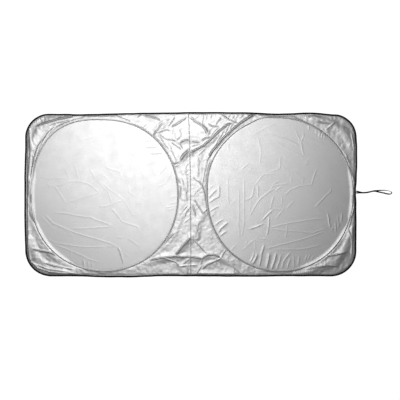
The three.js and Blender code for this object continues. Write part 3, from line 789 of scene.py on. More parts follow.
# Faint creases inside the hoops, where the cloth is stretched: rise in millimetres, and a path
DISC_CREASES = (
    # left, upper part
    (0.14, ((71, 159), (75, 155.8), (80, 151.5), (85, 147), (90, 143.2), (95, 140.3), (99, 138))),
    (0.2, ((74, 145), (79, 142), (85, 139.5), (90, 138.2), (95, 136.6), (101, 135))),
    (0.12, ((77, 138.8), (79.8, 136.3))),
    (0.12, ((65, 139), (70, 136), (76, 133.5))),
    (0.1, ((94, 132.5), (100, 131))),
    (0.14, ((82, 171.5), (86, 168), (90, 165), (94, 161), (98, 157), (101, 153.5))),
    (0.14, ((79, 174), (84, 171.5), (90, 169.2), (95, 166.5), (101, 162), (106, 157))),
    (0.22, ((90, 169.5), (92.5, 173), (94.5, 177), (96, 179.5))),
    (0.2, ((94.5, 176.8), (98, 175), (101, 173))),
    (0.2, ((91, 184), (95, 181.5), (101, 177), (104, 174.5))),
    (0.16, ((73, 163), (75.5, 167), (76.5, 171), (77.8, 175), (78.5, 179.5))),
    (0.14, ((65.5, 170), (67.5, 173.5), (69.5, 179.5))),
    (0.16, ((43, 177.5), (50, 178.8), (53, 178.3), (64, 178), (68.5, 179.5))),
    (0.24, ((47, 184), (49, 185.5), (55, 185.6), (60, 185), (64, 183.5), (68, 181.5), (75, 181.3),
            (81, 181.6), (86, 183.2), (90, 184.5), (93, 187), (97, 190.5), (98.3, 192.5))),
    (0.2, ((97, 180), (101, 184.5), (105, 189), (107.5, 191))),
    (0.2, ((98.5, 180.5), (103, 184), (110, 190), (115, 193), (120, 197), (124, 200), (127, 205), (130, 210),
           (133, 215), (136, 215.2))),
    (0.14, ((101, 173), (105, 176.5), (109, 180))),
    (0.22, ((105, 166.5), (110, 169), (115, 170.4), (119, 170.6), (120.2, 173), (121.5, 177.5), (124, 181))),
    (0.12, ((122.8, 161), (122.5, 165), (121.5, 168))),
    (0.18, ((137, 164), (140, 169), (142, 173), (144.5, 176.5), (144.2, 183), (143.3, 193.5), (147.8, 197))),
    (0.14, ((135.5, 173), (136.3, 181), (136.6, 190), (136.7, 210))),
    (0.12, ((129, 170), (131, 166), (133.5, 161))),
    (0.18, ((156.3, 165), (156.3, 176), (157.2, 183), (157, 190))),
    (0.4, ((159.5, 173.5), (162, 171), (165, 168), (168, 164.5))),
    (0.22, ((166.8, 170), (170, 165.5))),
    (0.3, ((158, 186.6), (162, 185), (165.5, 183.2), (168, 179.5), (170, 175.5), (172, 170))),
    (0.14, ((126, 181), (127.5, 184), (128.5, 186))),
    # left, lower part
    (0.22, ((107.5, 190), (109, 195), (112, 203))),
    (0.22, ((99, 206.5), (105, 206.3), (112, 204.5), (116, 202.5), (120, 200.8), (124, 200))),
    (0.28, ((111, 208), (115, 212), (119, 217), (122, 221.5), (126, 223), (131, 224.5), (137, 226.3),
            (138.3, 228), (138.6, 233))),
    (0.2, ((128.5, 186), (128.8, 192), (132, 194), (135.5, 196.5))),
    (0.1, ((129.2, 195), (130.5, 203), (131.3, 210))),
    (0.24, ((116, 237), (123, 237.6))),
    (0.24, ((128, 238), (133, 241.5), (137, 244.5), (140.5, 246.8))),
    (0.16, ((138.5, 246.5), (141, 250), (142.5, 253))),
    (0.12, ((122, 250.5), (125, 254), (130, 257.3))),
    (0.12, ((135.5, 249), (137.3, 254.5))),
    (0.18, ((47, 186), (55.5, 187), (58, 191), (61, 195), (64, 200), (65.5, 203))),
    (0.2, ((65.5, 203.5), (70, 201.5), (75, 200.3), (80, 198.5), (85, 197), (90, 195.3), (98, 193))),
    (0.28, ((54, 212.7), (60, 212.7), (65, 213.2), (70, 214.1), (75, 215.3), (82, 216.4), (91, 217.4),
            (95, 219.4), (102, 221.7), (112, 225.6))),
    (0.24, ((71, 228.6), (85, 228.4), (95, 227.6), (103, 227.2), (112, 226.4))),
    (0.28, ((45.5, 215.5), (50, 220), (52.5, 223), (58, 225.5), (64, 228), (71, 231.2), (80, 234.3),
            (90, 237.2), (100, 240), (110, 243.2), (115, 245.3), (118, 247))),
    (0.14, ((64, 229), (70, 232.5), (71, 234.5))),
    (0.9, ((118, 247), (119.5, 250), (121, 254.5), (122.3, 259), (123.5, 264))),
    (0.18, ((105, 246.3), (113, 246.3), (118, 247))),
    (0.22, ((57, 243.2), (66, 244.5), (72, 245.5), (80, 246.6), (86, 247), (95, 247), (105, 246.7))),
    (0.22, ((57, 245.5), (65, 248.5), (72, 251.5), (80, 254.7), (85, 257), (87, 258.7), (95, 261),
            (99, 262.5))),
    (0.12, ((41, 216), (45, 220.5), (50, 225.5), (52.5, 229), (55, 229))),
    (0.14, ((47, 238), (53, 242), (58, 243.3))),
    (0.12, ((66, 233.5), (72, 235.5), (73, 238))),
    # right, upper part
    (0.3, ((228.6, 143), (228.4, 148), (229, 152.5))),
    (0.12, ((231, 149), (231.5, 153), (233.5, 155.5), (236.5, 159), (239, 165))),
    (0.3, ((241, 169.5), (245, 166.5), (248.5, 163.2))),
    (0.16, ((248, 172), (249.8, 170))),
    (0.16, ((250.5, 166), (251.5, 171.5))),
    (0.2, ((257.8, 137), (259, 142), (260.5, 148), (261, 153), (260.5, 158), (259.5, 165))),
    (0.22, ((253, 134.5), (258, 132), (262, 129.5), (267, 127), (270, 125.5), (275, 123.5))),
    (0.42, ((262, 134), (268, 134.3), (276, 136), (280, 137.5), (285, 138.5), (289, 140.5), (295, 143.5),
            (299, 145.5))),
    (0.24, ((255, 185), (258, 181), (261, 177.5), (263, 174.8), (268, 174), (276, 173.5))),
    (0.2, ((268, 171.8), (272, 171.5), (277, 169.5), (280, 168), (280.5, 156))),
    (0.2, ((271, 186), (274, 184), (280, 180.5))),
    (0.24, ((271.5, 190), (271.8, 187), (274, 185.5), (280, 185), (289, 183.2))),
    (0.12, ((244, 147), (250, 145.3))),
    (0.2, ((275, 142), (280, 144.5), (286, 148), (293, 151.5), (298, 154.5), (301, 156), (304, 158.5))),
    (0.3, ((303.5, 132), (303.5, 136.5), (302.3, 139), (301, 142), (301.8, 147), (302.5, 151), (304, 155.5))),
    (0.24, ((295.5, 130), (297, 134.5), (299.3, 138.5), (299.8, 145.5))),
    (0.2, ((303, 137.8), (308, 138.5), (313, 140), (317, 141.5), (322, 144), (326, 145))),
    (0.12, ((316, 136.5), (319.5, 139.5), (323, 142))),
    (0.26, ((305, 162.8), (308.5, 159.3))),
    (0.26, ((305, 165), (309, 161.5))),
    (0.14, ((283.5, 154.5), (287.5, 158.5))),
    (0.22, ((291.2, 177), (291.5, 184))),
    (0.18, ((281.5, 166), (288, 171), (295, 173), (300, 176), (303.5, 178.5), (302, 184))),
    (0.26, ((316.5, 169), (315, 173.5), (313.5, 177.5), (311.8, 184.5), (305, 185.3), (298, 186.5),
            (295, 188), (291, 189.5), (288, 192), (284.5, 195))),
    (0.12, ((317, 178), (323, 179.5), (330, 180))),
    # right, lower part
    (0.3, ((282, 186), (279, 188), (275, 191.5))),
    (0.2, ((282, 196), (282, 205))),
    (0.24, ((293.5, 200.5), (290, 205), (286, 209))),
    (0.24, ((284, 208), (282, 211.5), (279, 214.5), (276, 219))),
    (0.3, ((270.5, 227.3), (275, 226.5), (280, 225), (286, 224), (292, 222.5), (300, 221.3), (308, 220),
           (316, 219), (325, 218.3))),
    (0.22, ((287, 224), (287, 230), (286.5, 232.5), (285.5, 238))),
    (0.26, ((270.5, 229.2), (275, 229.5), (285, 230.5), (295, 231.2), (305, 232.2), (313, 233), (318, 231),
            (325, 229))),
    (0.28, ((267, 248.5), (275, 246.4), (280, 244.9), (290, 242.5), (300, 240), (307, 237.8), (315, 235),
            (323, 232))),
    (0.28, ((275, 249.6), (285, 249.4), (298, 249.5), (307, 248.3), (315, 246.5), (320, 245))),
    (0.3, ((314.5, 207.5), (320, 202), (325, 196.5), (331, 191), (331, 188))),
    (0.12, ((317, 208), (322, 211.5), (325, 213.5))),
    (0.6, ((327.8, 213), (328.8, 219), (329.8, 228))),
    (0.36, ((219.3, 212), (219.3, 217))),
    (0.26, ((227.7, 178), (227.8, 197), (228.5, 202), (229.5, 205))),
    (0.12, ((230, 206), (234, 201), (238, 197))),
    (0.26, ((238.9, 190), (238.9, 213), (238.8, 219), (238.3, 224), (239.2, 232), (239.6, 238))),
    (0.26, ((244.2, 180), (244, 200), (244, 215), (244.2, 222), (243.2, 228), (241.8, 236))),
    (0.34, ((254, 185.5), (253.5, 190), (252.5, 195.5), (250.5, 198), (247, 199.5), (245.5, 200.8))),
    (0.34, ((257.7, 185), (258.1, 193), (258.2, 199))),
    (0.12, ((251.3, 200), (250.5, 207), (249.5, 213))),
    (0.34, ((275, 188.5), (270, 191), (265, 195), (260, 199), (257, 203), (254.5, 207.5), (251, 213.5),
            (249.8, 215))),
    (0.3, ((273.8, 195.5), (272.5, 200), (271, 206), (270, 208), (276, 209.6), (283, 209.8))),
    (0.6, ((272.8, 209.8), (268.8, 213.5), (265.3, 217), (262, 220.3))),
    (0.6, ((268.9, 217), (269, 224), (268.2, 229), (266.9, 235.5))),
    (0.75, ((249, 229), (254, 227.7), (259, 225.6), (263, 224))),
    (0.3, ((262, 238.8), (267, 238.8))),
    (0.34, ((231, 250.3), (233.5, 247.3), (235, 245.3))),
    (0.24, ((242.5, 250.4), (247, 246.3), (250, 243.3), (255.5, 239))),
    (0.24, ((247, 240), (246.5, 243.5), (245.5, 246))),
    (0.16, ((254.8, 238), (255, 246), (254.3, 251))),
)
DISC_REACH = 3.2  # of each to its two sides, in millimetres

# Puckers beside the hoops: rise, reach to the left and to the right in millimetres, and a path
PUCKERS = (
    # bottom of the right hoop
    (0.9, 5, 4, ((254.2, 252.5), (253.2, 256.5), (251.8, 259), (249.8, 262.5))),
    (1.4, 7, 9, ((257, 253.5), (256.3, 257.5), (254.4, 261), (252, 264.2))),
    (0.9, 5, 8, ((264.2, 245), (263, 249.5), (261.6, 253.5), (261.3, 257.5), (260.3, 261.5), (259.3, 267))),
    (1.5, 10, 10, ((269.2, 253), (268.6, 259), (267.4, 264), (266.6, 269))),
    (1.1, 8, 7, ((275.9, 253), (275, 259), (273, 264.5), (271.4, 270))),
    (0.6, 6, 5, ((280.8, 254.5), (279.6, 260.5), (277.6, 265.5), (277, 270))),
    (0.5, 6, 5, ((290, 253), (286, 257.5), (283.2, 262.3), (281.8, 269))),
    (0.5, 5, 5, ((290.5, 258), (288.4, 264), (287.2, 269))),
    (0.4, 5, 5, ((293.5, 256), (293.7, 262), (294.3, 268))),
    (0.5, 5, 5, ((299.3, 256), (298.6, 262), (298, 266))),
    (0.4, 4, 4, ((307, 254.5), (305.3, 261))),
    (0.4, 4, 4, ((309.8, 254.5), (308, 260))),
    (0.3, 4, 4, ((313.3, 256), (311.6, 260))),
    # left of the right hoop
    (0.8, 4, 12, ((219.4, 185), (219.4, 194.5), (218.6, 196.8), (215, 198.4), (211.5, 201), (209, 203))),
    (0.9, 5, 8, ((217, 189), (213.2, 192.5), (209.6, 196.5), (208.3, 198.5))),
    (0.5, 4, 5, ((213, 185.5), (209, 188.5))),
    (0.7, 4, 6, ((219.5, 206), (216, 207.3), (213, 209.2), (209.5, 212))),
    (0.7, 4, 5, ((215.2, 213.2), (210.5, 216.8))),
    (0.4, 3.5, 4, ((216.5, 210.5), (210.5, 214.5))),
    (0.7, 5, 6, ((223.5, 219.3), (219.5, 221.3), (214.5, 225.5))),
    (1.3, 6, 8, ((227.8, 222.4), (224, 225.6), (221, 228), (218.3, 232.5))),
    (0.9, 5, 7, ((227, 231), (223.5, 232.8), (219.8, 236.2))),
    # top and end of the right hoop
    (0.5, 3.5, 3.5, ((308.5, 124.5), (308.8, 130))),
    (0.4, 3.5, 3.5, ((316.5, 129), (316.3, 134))),
    (0.5, 3.5, 3.5, ((319.6, 131), (319.3, 138))),
    (0.4, 3.5, 3.5, ((322.6, 133), (321.2, 139))),
    (0.3, 3.5, 3.5, ((325, 135), (324, 139))),
    (0.3, 3.5, 3.5, ((337.5, 216), (338, 221))),
    (0.5, 3.5, 3.5, ((341.8, 213), (341.3, 222.5))),
    (0.4, 3.5, 3.5, ((338.8, 222), (338.2, 229))),
    (0.5, 3.5, 3.5, ((335.3, 222), (335.8, 232))),
    (0.3, 3.5, 3.5, ((334.5, 226), (331, 231))),
    # right of the left hoop and below it
    (0.5, 6, 4, ((144, 141), (148, 141), (153, 139.8))),
    (0.6, 6, 4, ((145, 147.2), (151, 147.1), (158, 146.5))),
    (0.7, 6, 4, ((150, 153.3), (156, 153.4), (163, 152.6))),
    (0.3, 4, 4, ((171, 197), (177, 196))),
    (0.3, 4, 4, ((169, 203.8), (176.5, 202))),
    (0.3, 4, 4, ((165, 207.6), (175.5, 205.8))),
    (0.3, 4, 4, ((167, 210), (175, 208))),
    (0.6, 4, 4, ((83.6, 259), (83.9, 267))),
    (0.3, 4, 4, ((88, 260.5), (88.6, 268))),
    (0.3, 4, 4, ((92, 262), (92.4, 269))),
    (0.14, 4, 4, ((71, 247), (71, 260))),
)

# Small gathers along a hoop's casing
GATHER_PITCH = 9 * MM
GATHER_REACH = 9 * MM
GATHER_RISE = 0.22 * MM

# Small gathers in patches along the upper and lower binding
EDGE_GATHER_PITCH = 8 * MM
EDGE_GATHER_RISE = 0.7 * MM

# The folded edges of the two panels, which stand up a little beside the seam
LIP_PLACE = 2.2 * MM
LIP_SPREAD = 1.3 * MM

# The taut cloth inside a hoop: its lift off the tapes, and a broad unevenness
DISC_LIFT = 0.2 * MM
DISC_SWELL = 0.08 * MM
DISC_SWELL_SIZE = 0.3
CREST_EASE = 5 * MM  # from a hoop's foot, over which creases and facets come up

# Slopes of the cloth beside a hoop, from its top down to where the cloth lies flat: hoop,
# direction from its middle and spread in degrees, and reach inwards and outwards
SLOPES = (
    ("left", 222, 34, 10 * MM, 0), ("left", 180, 26, 11 * MM, 22 * MM), ("left", 128, 34, 0, 15 * MM),
    ("left", 90, 30, 0, 18 * MM), ("left", 270, 24, 0, 9 * MM),
    ("right", 310, 36, 10 * MM, 0), ("right", 0, 28, 11 * MM, 14 * MM), ("right", 130, 30, 0, 22 * MM),
    ("right", 95, 30, 0, 14 * MM), ("right", 270, 24, 0, 9 * MM),
)


def drift(x, y, size, seed):
    """A random smooth field about 1 high, with patches of that size."""
    rng = np.random.default_rng(seed)
    total = np.zeros(np.shape(x))
    for _ in range(WAVES):
        turn, start = rng.uniform(0, 2 * math.pi, 2)
        pitch = size * rng.uniform(0.7, 1.5)
        total += np.cos(2 * math.pi * (x * math.cos(turn) + y * math.sin(turn)) / pitch + start)
    return total / math.sqrt(WAVES / 2)


def from_path(x, y, path):
    """For each point, its distance to a path, positive on the left, how far along it that is, and
    the path's length."""
    nearest = np.full(np.shape(x), 9.0)
    side = np.ones(np.shape(x))
    place = np.zeros(np.shape(x))
    travelled = 0.0
    for (x0, y0), (x1, y1) in zip(path, path[1:]):
        run_x, run_y = x1 - x0, y1 - y0
        length = math.hypot(run_x, run_y)
        share = np.clip(((x - x0) * run_x + (y - y0) * run_y) / length**2, 0, 1)
        off_x, off_y = x - x0 - share * run_x, y - y0 - share * run_y
        off = np.hypot(off_x, off_y)
        closer = off < nearest
        nearest = np.where(closer, off, nearest)
        side = np.where(closer, np.sign(run_x * off_y - run_y * off_x), side)
        place = np.where(closer, travelled + share * length, place)
        travelled += length
    return nearest * side, place, travelled


def near(x, y, path, reach):
    """Which points are in the box round a path."""
    low, high = np.min(path, axis=0) - reach, np.max(path, axis=0) + reach
    return np.flatnonzero((x > low[0]) & (x < high[0]) & (y > low[1]) & (y < high[1]))


def main_folds(x, y):
    """Height of the broad folds, none at the seam's ends."""
    squares = np.zeros(np.shape(x))
    for rise, reach, path in FOLDS:
        path = [(u * LENGTH / 2, v * HEIGHT / 2) for u, v in path]
        which = near(x, y, path, reach * MM)
        off, _, _ = from_path(x[which], y[which], path)
        share = np.clip(np.abs(off) / (reach * MM), 0, 1)
        squares[which] += (rise * MM * (1 - share**2) ** 2) ** 2
    ends = [OUTLINE.points[0], OUTLINE.points[OUTLINE.head]]
    to_end = np.min([np.hypot(x - end[0], y - end[1]) for end in ends], axis=0)
    hold = smoothly(to_end, SEAM_END_HOLD, SEAM_END_HOLD + SEAM_END_EASE)
    return FOLD_SHARE * np.sqrt(squares) * hold


def creases(x, y, table):
    """Height of the sharp creases: steep at the crest and easing out to each side."""
    height = np.zeros(np.shape(x))
    for rise, left, right, path in table:
        path = [on_floor(*point) for point in path]
        which = near(x, y, path, max(left, right) * MM)
        off, place, length = from_path(x[which], y[which], path)
        reach = np.where(off > 0, left, right) * MM
        share = np.clip(np.abs(off) / reach, 0, 1)
        ease = min(CREASE_EASE, 0.4 * length)
        taper = smoothly(place, 0, ease) * smoothly(length - place, 0, ease)
        bump = rise * MM * (1 - share) ** 1.5 * (0.25 + 0.75 * taper)
        height[which] = np.maximum(height[which], bump) + 0.35 * np.minimum(height[which], bump)
    return height


def facet_net(size, height, seed):
    """Corners of the flat facets that the slack cloth falls into, with a height for each, and the
    triangles between them. The creases of the table run along their sides."""
    rng = np.random.default_rng(seed)
    corners, edges = [], []
    for rise, _, _, path in SLACK_CREASES:
        start = len(corners)
        corners += [on_floor(*point) for point in path]
        edges += [(i, i + 1) for i in range(start, len(corners) - 1)]
    on_creases = len(corners)
    loose = honeycomb((-LENGTH / 2, -HEIGHT / 2), (LENGTH / 2, HEIGHT / 2), size)
    loose += rng.uniform(-0.35, 0.35, loose.shape) * size
    fixed = np.array(corners)
    apart = np.linalg.norm(loose[:, None] - fixed[None], axis=2).min(1)
    corners += [tuple(point) for point in loose[apart > 0.3 * size]]
    heights = rng.uniform(0, 1, len(corners))
    heights[:on_creases] = 0.4 + 0.6 * heights[:on_creases]
    laid, _, faces, origin, _, _ = delaunay_2d_cdt([Vector(p) for p in corners], edges, [], 0, 1e-5)
    rise = np.array([heights[sources[0]] if len(sources) else 0.5 for sources in origin])
    return np.array([tuple(p) for p in laid]), rise * height, faces


def facets(x, y, size, rise, seed):
    """Height of the net of facets, flat within each."""
    corners, heights, faces = facet_net(size, rise, seed)
    net = bvhtree.BVHTree.FromPolygons(np.column_stack([corners, heights]).tolist(), faces)
    hits = [net.ray_cast((a, b, 1), (0, 0, -1))[0] for a, b in zip(x.tolist(), y.tolist())]
    return np.array([hit.z if hit else 0 for hit in hits])


def gathers(name, off, turn):
    """Fine ribbing of the cloth along a hoop's casing."""
    hoop = hoops[name]
    round_it = turn * (hoop.half_width + hoop.half_height) / 2
    slant = 0.35 * np.sin(3 * turn) * np.abs(off)
    jitter = 0.6 * GATHER_PITCH * (np.sin(7 * turn + 1.3) + np.sin(17 * turn + 0.4) + np.sin(29 * turn)) / 2
    wave = (0.5 + 0.5 * np.cos(2 * math.pi * (round_it + slant + jitter) / GATHER_PITCH)) ** 2
    reach = GATHER_REACH * (0.7 + 0.3 * np.sin(11 * turn + 2))
    fade = (1 - smoothly(np.abs(off), 3 * MM, reach)) * smoothly(np.abs(off), 1 * MM, 4 * MM)
    return GATHER_RISE * fade * wave


def edge_gathers(x, inwards):
    """Small gathers, here and there, where the cloth is sewn to the upper and lower binding."""
    wander = 2.5 * MM * np.sin(x / (23 * MM))
    wave = (0.5 + 0.5 * np.cos(2 * math.pi * (x + wander) / EDGE_GATHER_PITCH)) ** 2
    patches = smoothly(np.sin(x / (61 * MM) + 1) + 0.6 * np.sin(x / (37 * MM)), 0, 0.8)
    start = smoothly(inwards, EDGE_BAND, EDGE_BAND + 3 * MM)
    end = 1 - smoothly(inwards, EDGE_BAND + 5 * MM, EDGE_BAND + 15 * MM)
    return EDGE_GATHER_RISE * wave * patches * start * end


def seam_lip(y, from_seam):
    """The folded edges of the panels along the seam, higher in some places than in others."""
    high = (0.22 + 0.12 * np.sin(y / (31 * MM)) * np.sin(y / (17 * MM))) * MM
    return high * np.exp(-(((from_seam - LIP_PLACE) / LIP_SPREAD) ** 2))


def slope_reach(name, turn):
    """How far the cloth's slope reaches inwards and outwards from the hoop's line."""
    inner = np.zeros(np.shape(turn))
    outer = np.zeros(np.shape(turn))
    for which, at, spread, inwards, outwards in SLOPES:
        if which == name:
            share = 1 - smoothly(degrees_apart(turn, at), 0.35 * spread, spread)
            inner = np.maximum(inner, inwards * share)
            outer = np.maximum(outer, outwards * share)
    return inner, outer


def over_hoop(name, off, turn, inwards):
    """Rise of the cloth that wraps the hoop's strip, a little more over its ferrule, and its
    slopes down on both sides."""
    hoop = hoops[name]
    low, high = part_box(f"hoop_ferrule_{name}")
    joint = math.atan2((low.y + high.y) / 2 - hoop.middle[1], (low.x + high.x) / 2 - hoop.middle[0])
    apart = np.abs((turn - joint + math.pi) % (2 * math.pi) - math.pi) * hoop.half_width
    over = 1 - smoothly(apart, *FERRULE_END)
    foot = CREST_FOOT * (1 + 0.15 * np.sin(23 * turn) * np.sin(41 * turn + 1)) + FERRULE_SPREAD * over
    crest = CREST_HALF + 0.7 * FERRULE_SPREAD * over
    share = np.clip((np.abs(off) - crest) / (foot - crest), 0, 1)
    bulge = CREST_BULGE * np.clip(1 - (off / crest) ** 2, 0, 1)
    wrapped = (STRIP_HEIGHT + FIT + FERRULE_RISE * over) * (1 - share) ** 1.25 + bulge
    inner, outer = slope_reach(name, turn)
    outer = np.minimum(outer, off + inwards - EDGE_BAND)
    reach = np.maximum(np.where(off < 0, inner, outer), 0.1 * MM)
    slope = STRIP_HEIGHT * np.clip(1 - np.abs(off) / reach, 0, 1)
    return np.maximum(wrapped, slope)


def fold_at(x, y, off):
    """The broad folds, which come up outside the hoops' casings."""
    return main_folds(x, y) * smoothly(off - CASING_WIDTH / 2, 0, FOLD_START)


def off_hoop(x, y):
    """Distance outwards from the nearer hoop, direction from its middle, and whether it is the
    right one."""
    right = x > seam_x(y)
    off_left, turn_left = hoops["left"].beside(x, y)
    off_right, turn_right = hoops["right"].beside(x, y)
    return np.where(right, off_right, off_left), np.where(right, turn_right, turn_left), right


def edge_rise():
    """How far the sewn edge stands above the floor at each station."""
    x, y = OUTLINE.inset(EDGE_BAND).T
    off, _, _ = off_hoop(x, y)
    return fold_at(x, y, off)


EDGE_RISE = edge_rise()


def seam_rise(y):
    """How far the seam stands above the floor."""
    return main_folds(seam_x(y), y)


def cloth_top(x, y):
    """Height of the cloth's face."""
    x, y = np.asarray(x, float), np.asarray(y, float)
    off, turn, right = off_hoop(x, y)
    inwards, station = OUTLINE.beside(x, y)
    from_seam = np.abs(x - seam_x(y))
    fold = fold_at(x, y, off)
    at_edge = smoothly(inwards, EDGE_BAND, EDGE_BAND + HELD_EASE)
    fold = EDGE_RISE[station] * (1 - at_edge) + fold * at_edge
    at_seam = smoothly(from_seam, SEAM_BAND, SEAM_BAND + HELD_EASE)
    fold = (seam_rise(y) + seam_lip(y, from_seam)) * (1 - at_seam) + fold * at_seam

    free = smoothly(inwards, EDGE_BAND - 0.3 * MM, EDGE_BAND + 3 * MM)
    outside = smoothly(off, CREST_FOOT, CREST_FOOT + CREST_EASE)
    inside = smoothly(-off, CREST_FOOT, CREST_FOOT + CREST_EASE)
    seam_hold = 0.8 + 0.2 * smoothly(from_seam, 1 * MM, SEAM_BAND)
    slack = outside * free * seam_hold
    detail = slack * (creases(x, y, SLACK_CREASES) + facets(x, y, FACET_SIZE, FACET_RISE, 17)
                      + facets(x, y, SMALL_FACET_SIZE, SMALL_FACET_RISE, 5))
    faint = [(rise, DISC_REACH, DISC_REACH, path) for rise, path in DISC_CREASES]
    swell = DISC_SWELL * drift(x, y, DISC_SWELL_SIZE, 31)
    taut = inside * (creases(x, y, faint) + creases(x, y, PUCKERS) + swell + DISC_LIFT)
    pucker = np.where(right, gathers("right", off, turn), gathers("left", off, turn)) * free
    crest = np.where(right, over_hoop("right", off, turn, inwards), over_hoop("left", off, turn, inwards))
    height = fold + detail + taut + pucker + crest + outside * edge_gathers(x, inwards)
    return CLOTH_REST + CLOTH_THICKNESS + np.maximum(height, 0)


# Panels


# Distances of the rows in which the mesh's points lie, from the sewn edge, the seam, a hoop's line
# and a crease, and the steps between the points elsewhere
EDGE_ROWS = (3.6 * MM, EDGE_BAND - 0.3 * MM, EDGE_BAND + 3 * MM)
SEAM_ROWS = (1.3 * MM, 2.4 * MM, 4.2 * MM, SEAM_BAND)
HOOP_ROWS = (CREST_HALF, 1.8 * MM, CREST_FOOT, 4.6 * MM, 7.5 * MM)
CREASE_ROWS = (1.6 * MM, 3.2 * MM)
SLACK_STEP = 2.9 * MM
DISC_STEP = 5.6 * MM

# What those points keep clear of: the outline, for rows and for the points between them, and the
# seam
ROW_CLEAR = 2.4 * MM
FIELD_CLEAR = 2.2 * MM
SEAM_CLEAR = 1.4 * MM


class Spread:
    """Points that keep their distance from those already laid."""

    def __init__(self, cell):
        self.cell = cell
        self.cells = {}
        self.points = []

    def add(self, points, clear):
        around = math.ceil(clear / self.cell)
        for x, y in points:
            i, j = math.floor(x / self.cell), math.floor(y / self.cell)
            close = False
            for a in range(i - around, i + around + 1):
                for b in range(j - around, j + around + 1):
                    for px, py in self.cells.get((a, b), ()):
                        if (px - x) ** 2 + (py - y) ** 2 < clear**2:
                            close = True
            if not close:
                self.cells.setdefault((i, j), []).append((x, y))
                self.points.append((x, y))


def honeycomb(low, high, step):
    """Points over a box, in rows that are shifted by half a step."""
    rows = np.arange(low[1], high[1], step * math.sqrt(3) / 2)
    columns = np.arange(low[0], high[0], step)
    x, y = np.meshgrid(columns, rows)
    x[1::2] += step / 2
    return np.stack([x.ravel(), y.ravel()], axis=1)


def beside_path(path, step, gaps):
    """Points on a path and, at each gap, on both sides of it."""
    line = []
    path = np.array(path, float)
    for from_point, to_point in zip(path, path[1:]):
        run = to_point - from_point
        length = np.linalg.norm(run)
        run /= length
        left = np.array([-run[1], run[0]])
        for at in np.arange(step / 2, length, step):
            here = from_point + run * at
            line += [here + left * aside for gap in (0, *gaps) for aside in {gap, -gap}]
    return line


def panel_points(hoop):
    """The rim of one panel, counterclockwise, then points all over it."""
    edge = OUTLINE.inset(CLOTH_REST + OUTLINE.waver)
    part = np.arange(OUTLINE.head + 1) if hoop.side > 0 else np.arange(OUTLINE.head, OUTLINE.count + 1)
    rim = edge[part % OUTLINE.count].copy()
    gap = hoop.side * FIT / 2
    seam_y = np.linspace(rim[-1][1], rim[0][1], round(HEIGHT / SLACK_STEP))[1:-1]
    rim[[0, -1], 0] = seam_x(rim[[0, -1], 1]) + gap
    seam = np.stack([seam_x(seam_y) + gap, seam_y], axis=1)
    rim = np.concatenate([rim, seam])
    spread = Spread(2 * MM)
    spread.add(rim, 0)

    low, high = rim.min(0), rim.max(0)

    def within(points, edge_gap, seam_gap=0.0):
        points = np.asarray(points, float)
        inwards, _ = OUTLINE.beside(points[:, 0], points[:, 1])
        beyond = hoop.side * (points[:, 0] - seam_x(points[:, 1]))
        return points[(inwards > edge_gap) & (beyond > seam_gap + FIT / 2)]

    for distance in EDGE_ROWS:
        spread.add(within(OUTLINE.inset(distance), distance - 0.4 * MM, 1.2 * MM), 1.5 * MM)
    for distance in SEAM_ROWS:
        column = np.stack([seam_x(seam_y) + hoop.side * distance, seam_y], axis=1)
        spread.add(within(column, ROW_CLEAR), 1.0 * MM)
    for distance in (0, *[way * row for row in HOOP_ROWS for way in (1, -1)]):
        spread.add(within(hoop.line(distance, HOOP_STATIONS), ROW_CLEAR, SEAM_CLEAR), 0.85 * MM)
    for path in [row[-1] for row in SLACK_CREASES + PUCKERS + DISC_CREASES]:
        line = beside_path([on_floor(*point) for point in path], SLACK_STEP, CREASE_ROWS)
        spread.add(within(line, ROW_CLEAR, SEAM_CLEAR), 1.25 * MM)
    slack = within(honeycomb(low, high, SLACK_STEP), FIELD_CLEAR, SEAM_CLEAR)
    off, _ = hoop.beside(slack[:, 0], slack[:, 1])
    spread.add(slack[off > 5 * MM], 0.7 * SLACK_STEP)
    disc = within(honeycomb(low, high, DISC_STEP), FIELD_CLEAR)
    off, _ = hoop.beside(disc[:, 0], disc[:, 1])
    spread.add(disc[off < -5 * MM], 0.62 * DISC_STEP)
    return np.array(spread.points), len(rim)


def add_panel(name, hoop):
    """One panel of cloth: its face, its back below and the edge between them."""
    points, rim = panel_points(hoop)
    edges = [(i, (i + 1) % rim) for i in range(rim)]
    laid, _, faces, origin, _, _ = delaunay_2d_cdt([Vector(p) for p in points], edges, [], 1, 1e-7)
    flat = np.array([tuple(p) for p in laid])
    place = {source: index for index, sources in enumerate(origin) for source in sources}
    loop = [place[i] for i in range(rim)]
    top = cloth_top(flat[:, 0], flat[:, 1])
    count = len(flat)
    face = np.column_stack([flat, top])
    back = np.column_stack([flat, top - CLOTH_THICKNESS])
    over = [tuple(f) for f in faces]
    under = [tuple(count + i for i in reversed(f)) for f in faces]
    edge = [(a, count + a, count + b, b) for a, b in zip(loop, loop[1:] + loop[:1])]
    mesh = mesh_of(name, np.concatenate([face, back]).tolist(), over + under + edge)
    side = mesh.attributes.new("back", "FLOAT", "POINT")
    side.data.foreach_set("value", np.repeat([0.0, 1.0], count).astype(np.float32))
    panel = finished(name, mesh, SILVER)
    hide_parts(name.replace("cloth", "panel"))


for end, hoop in hoops.items():
    add_panel(f"cloth_{end}", hoop)


# Binding and tapes


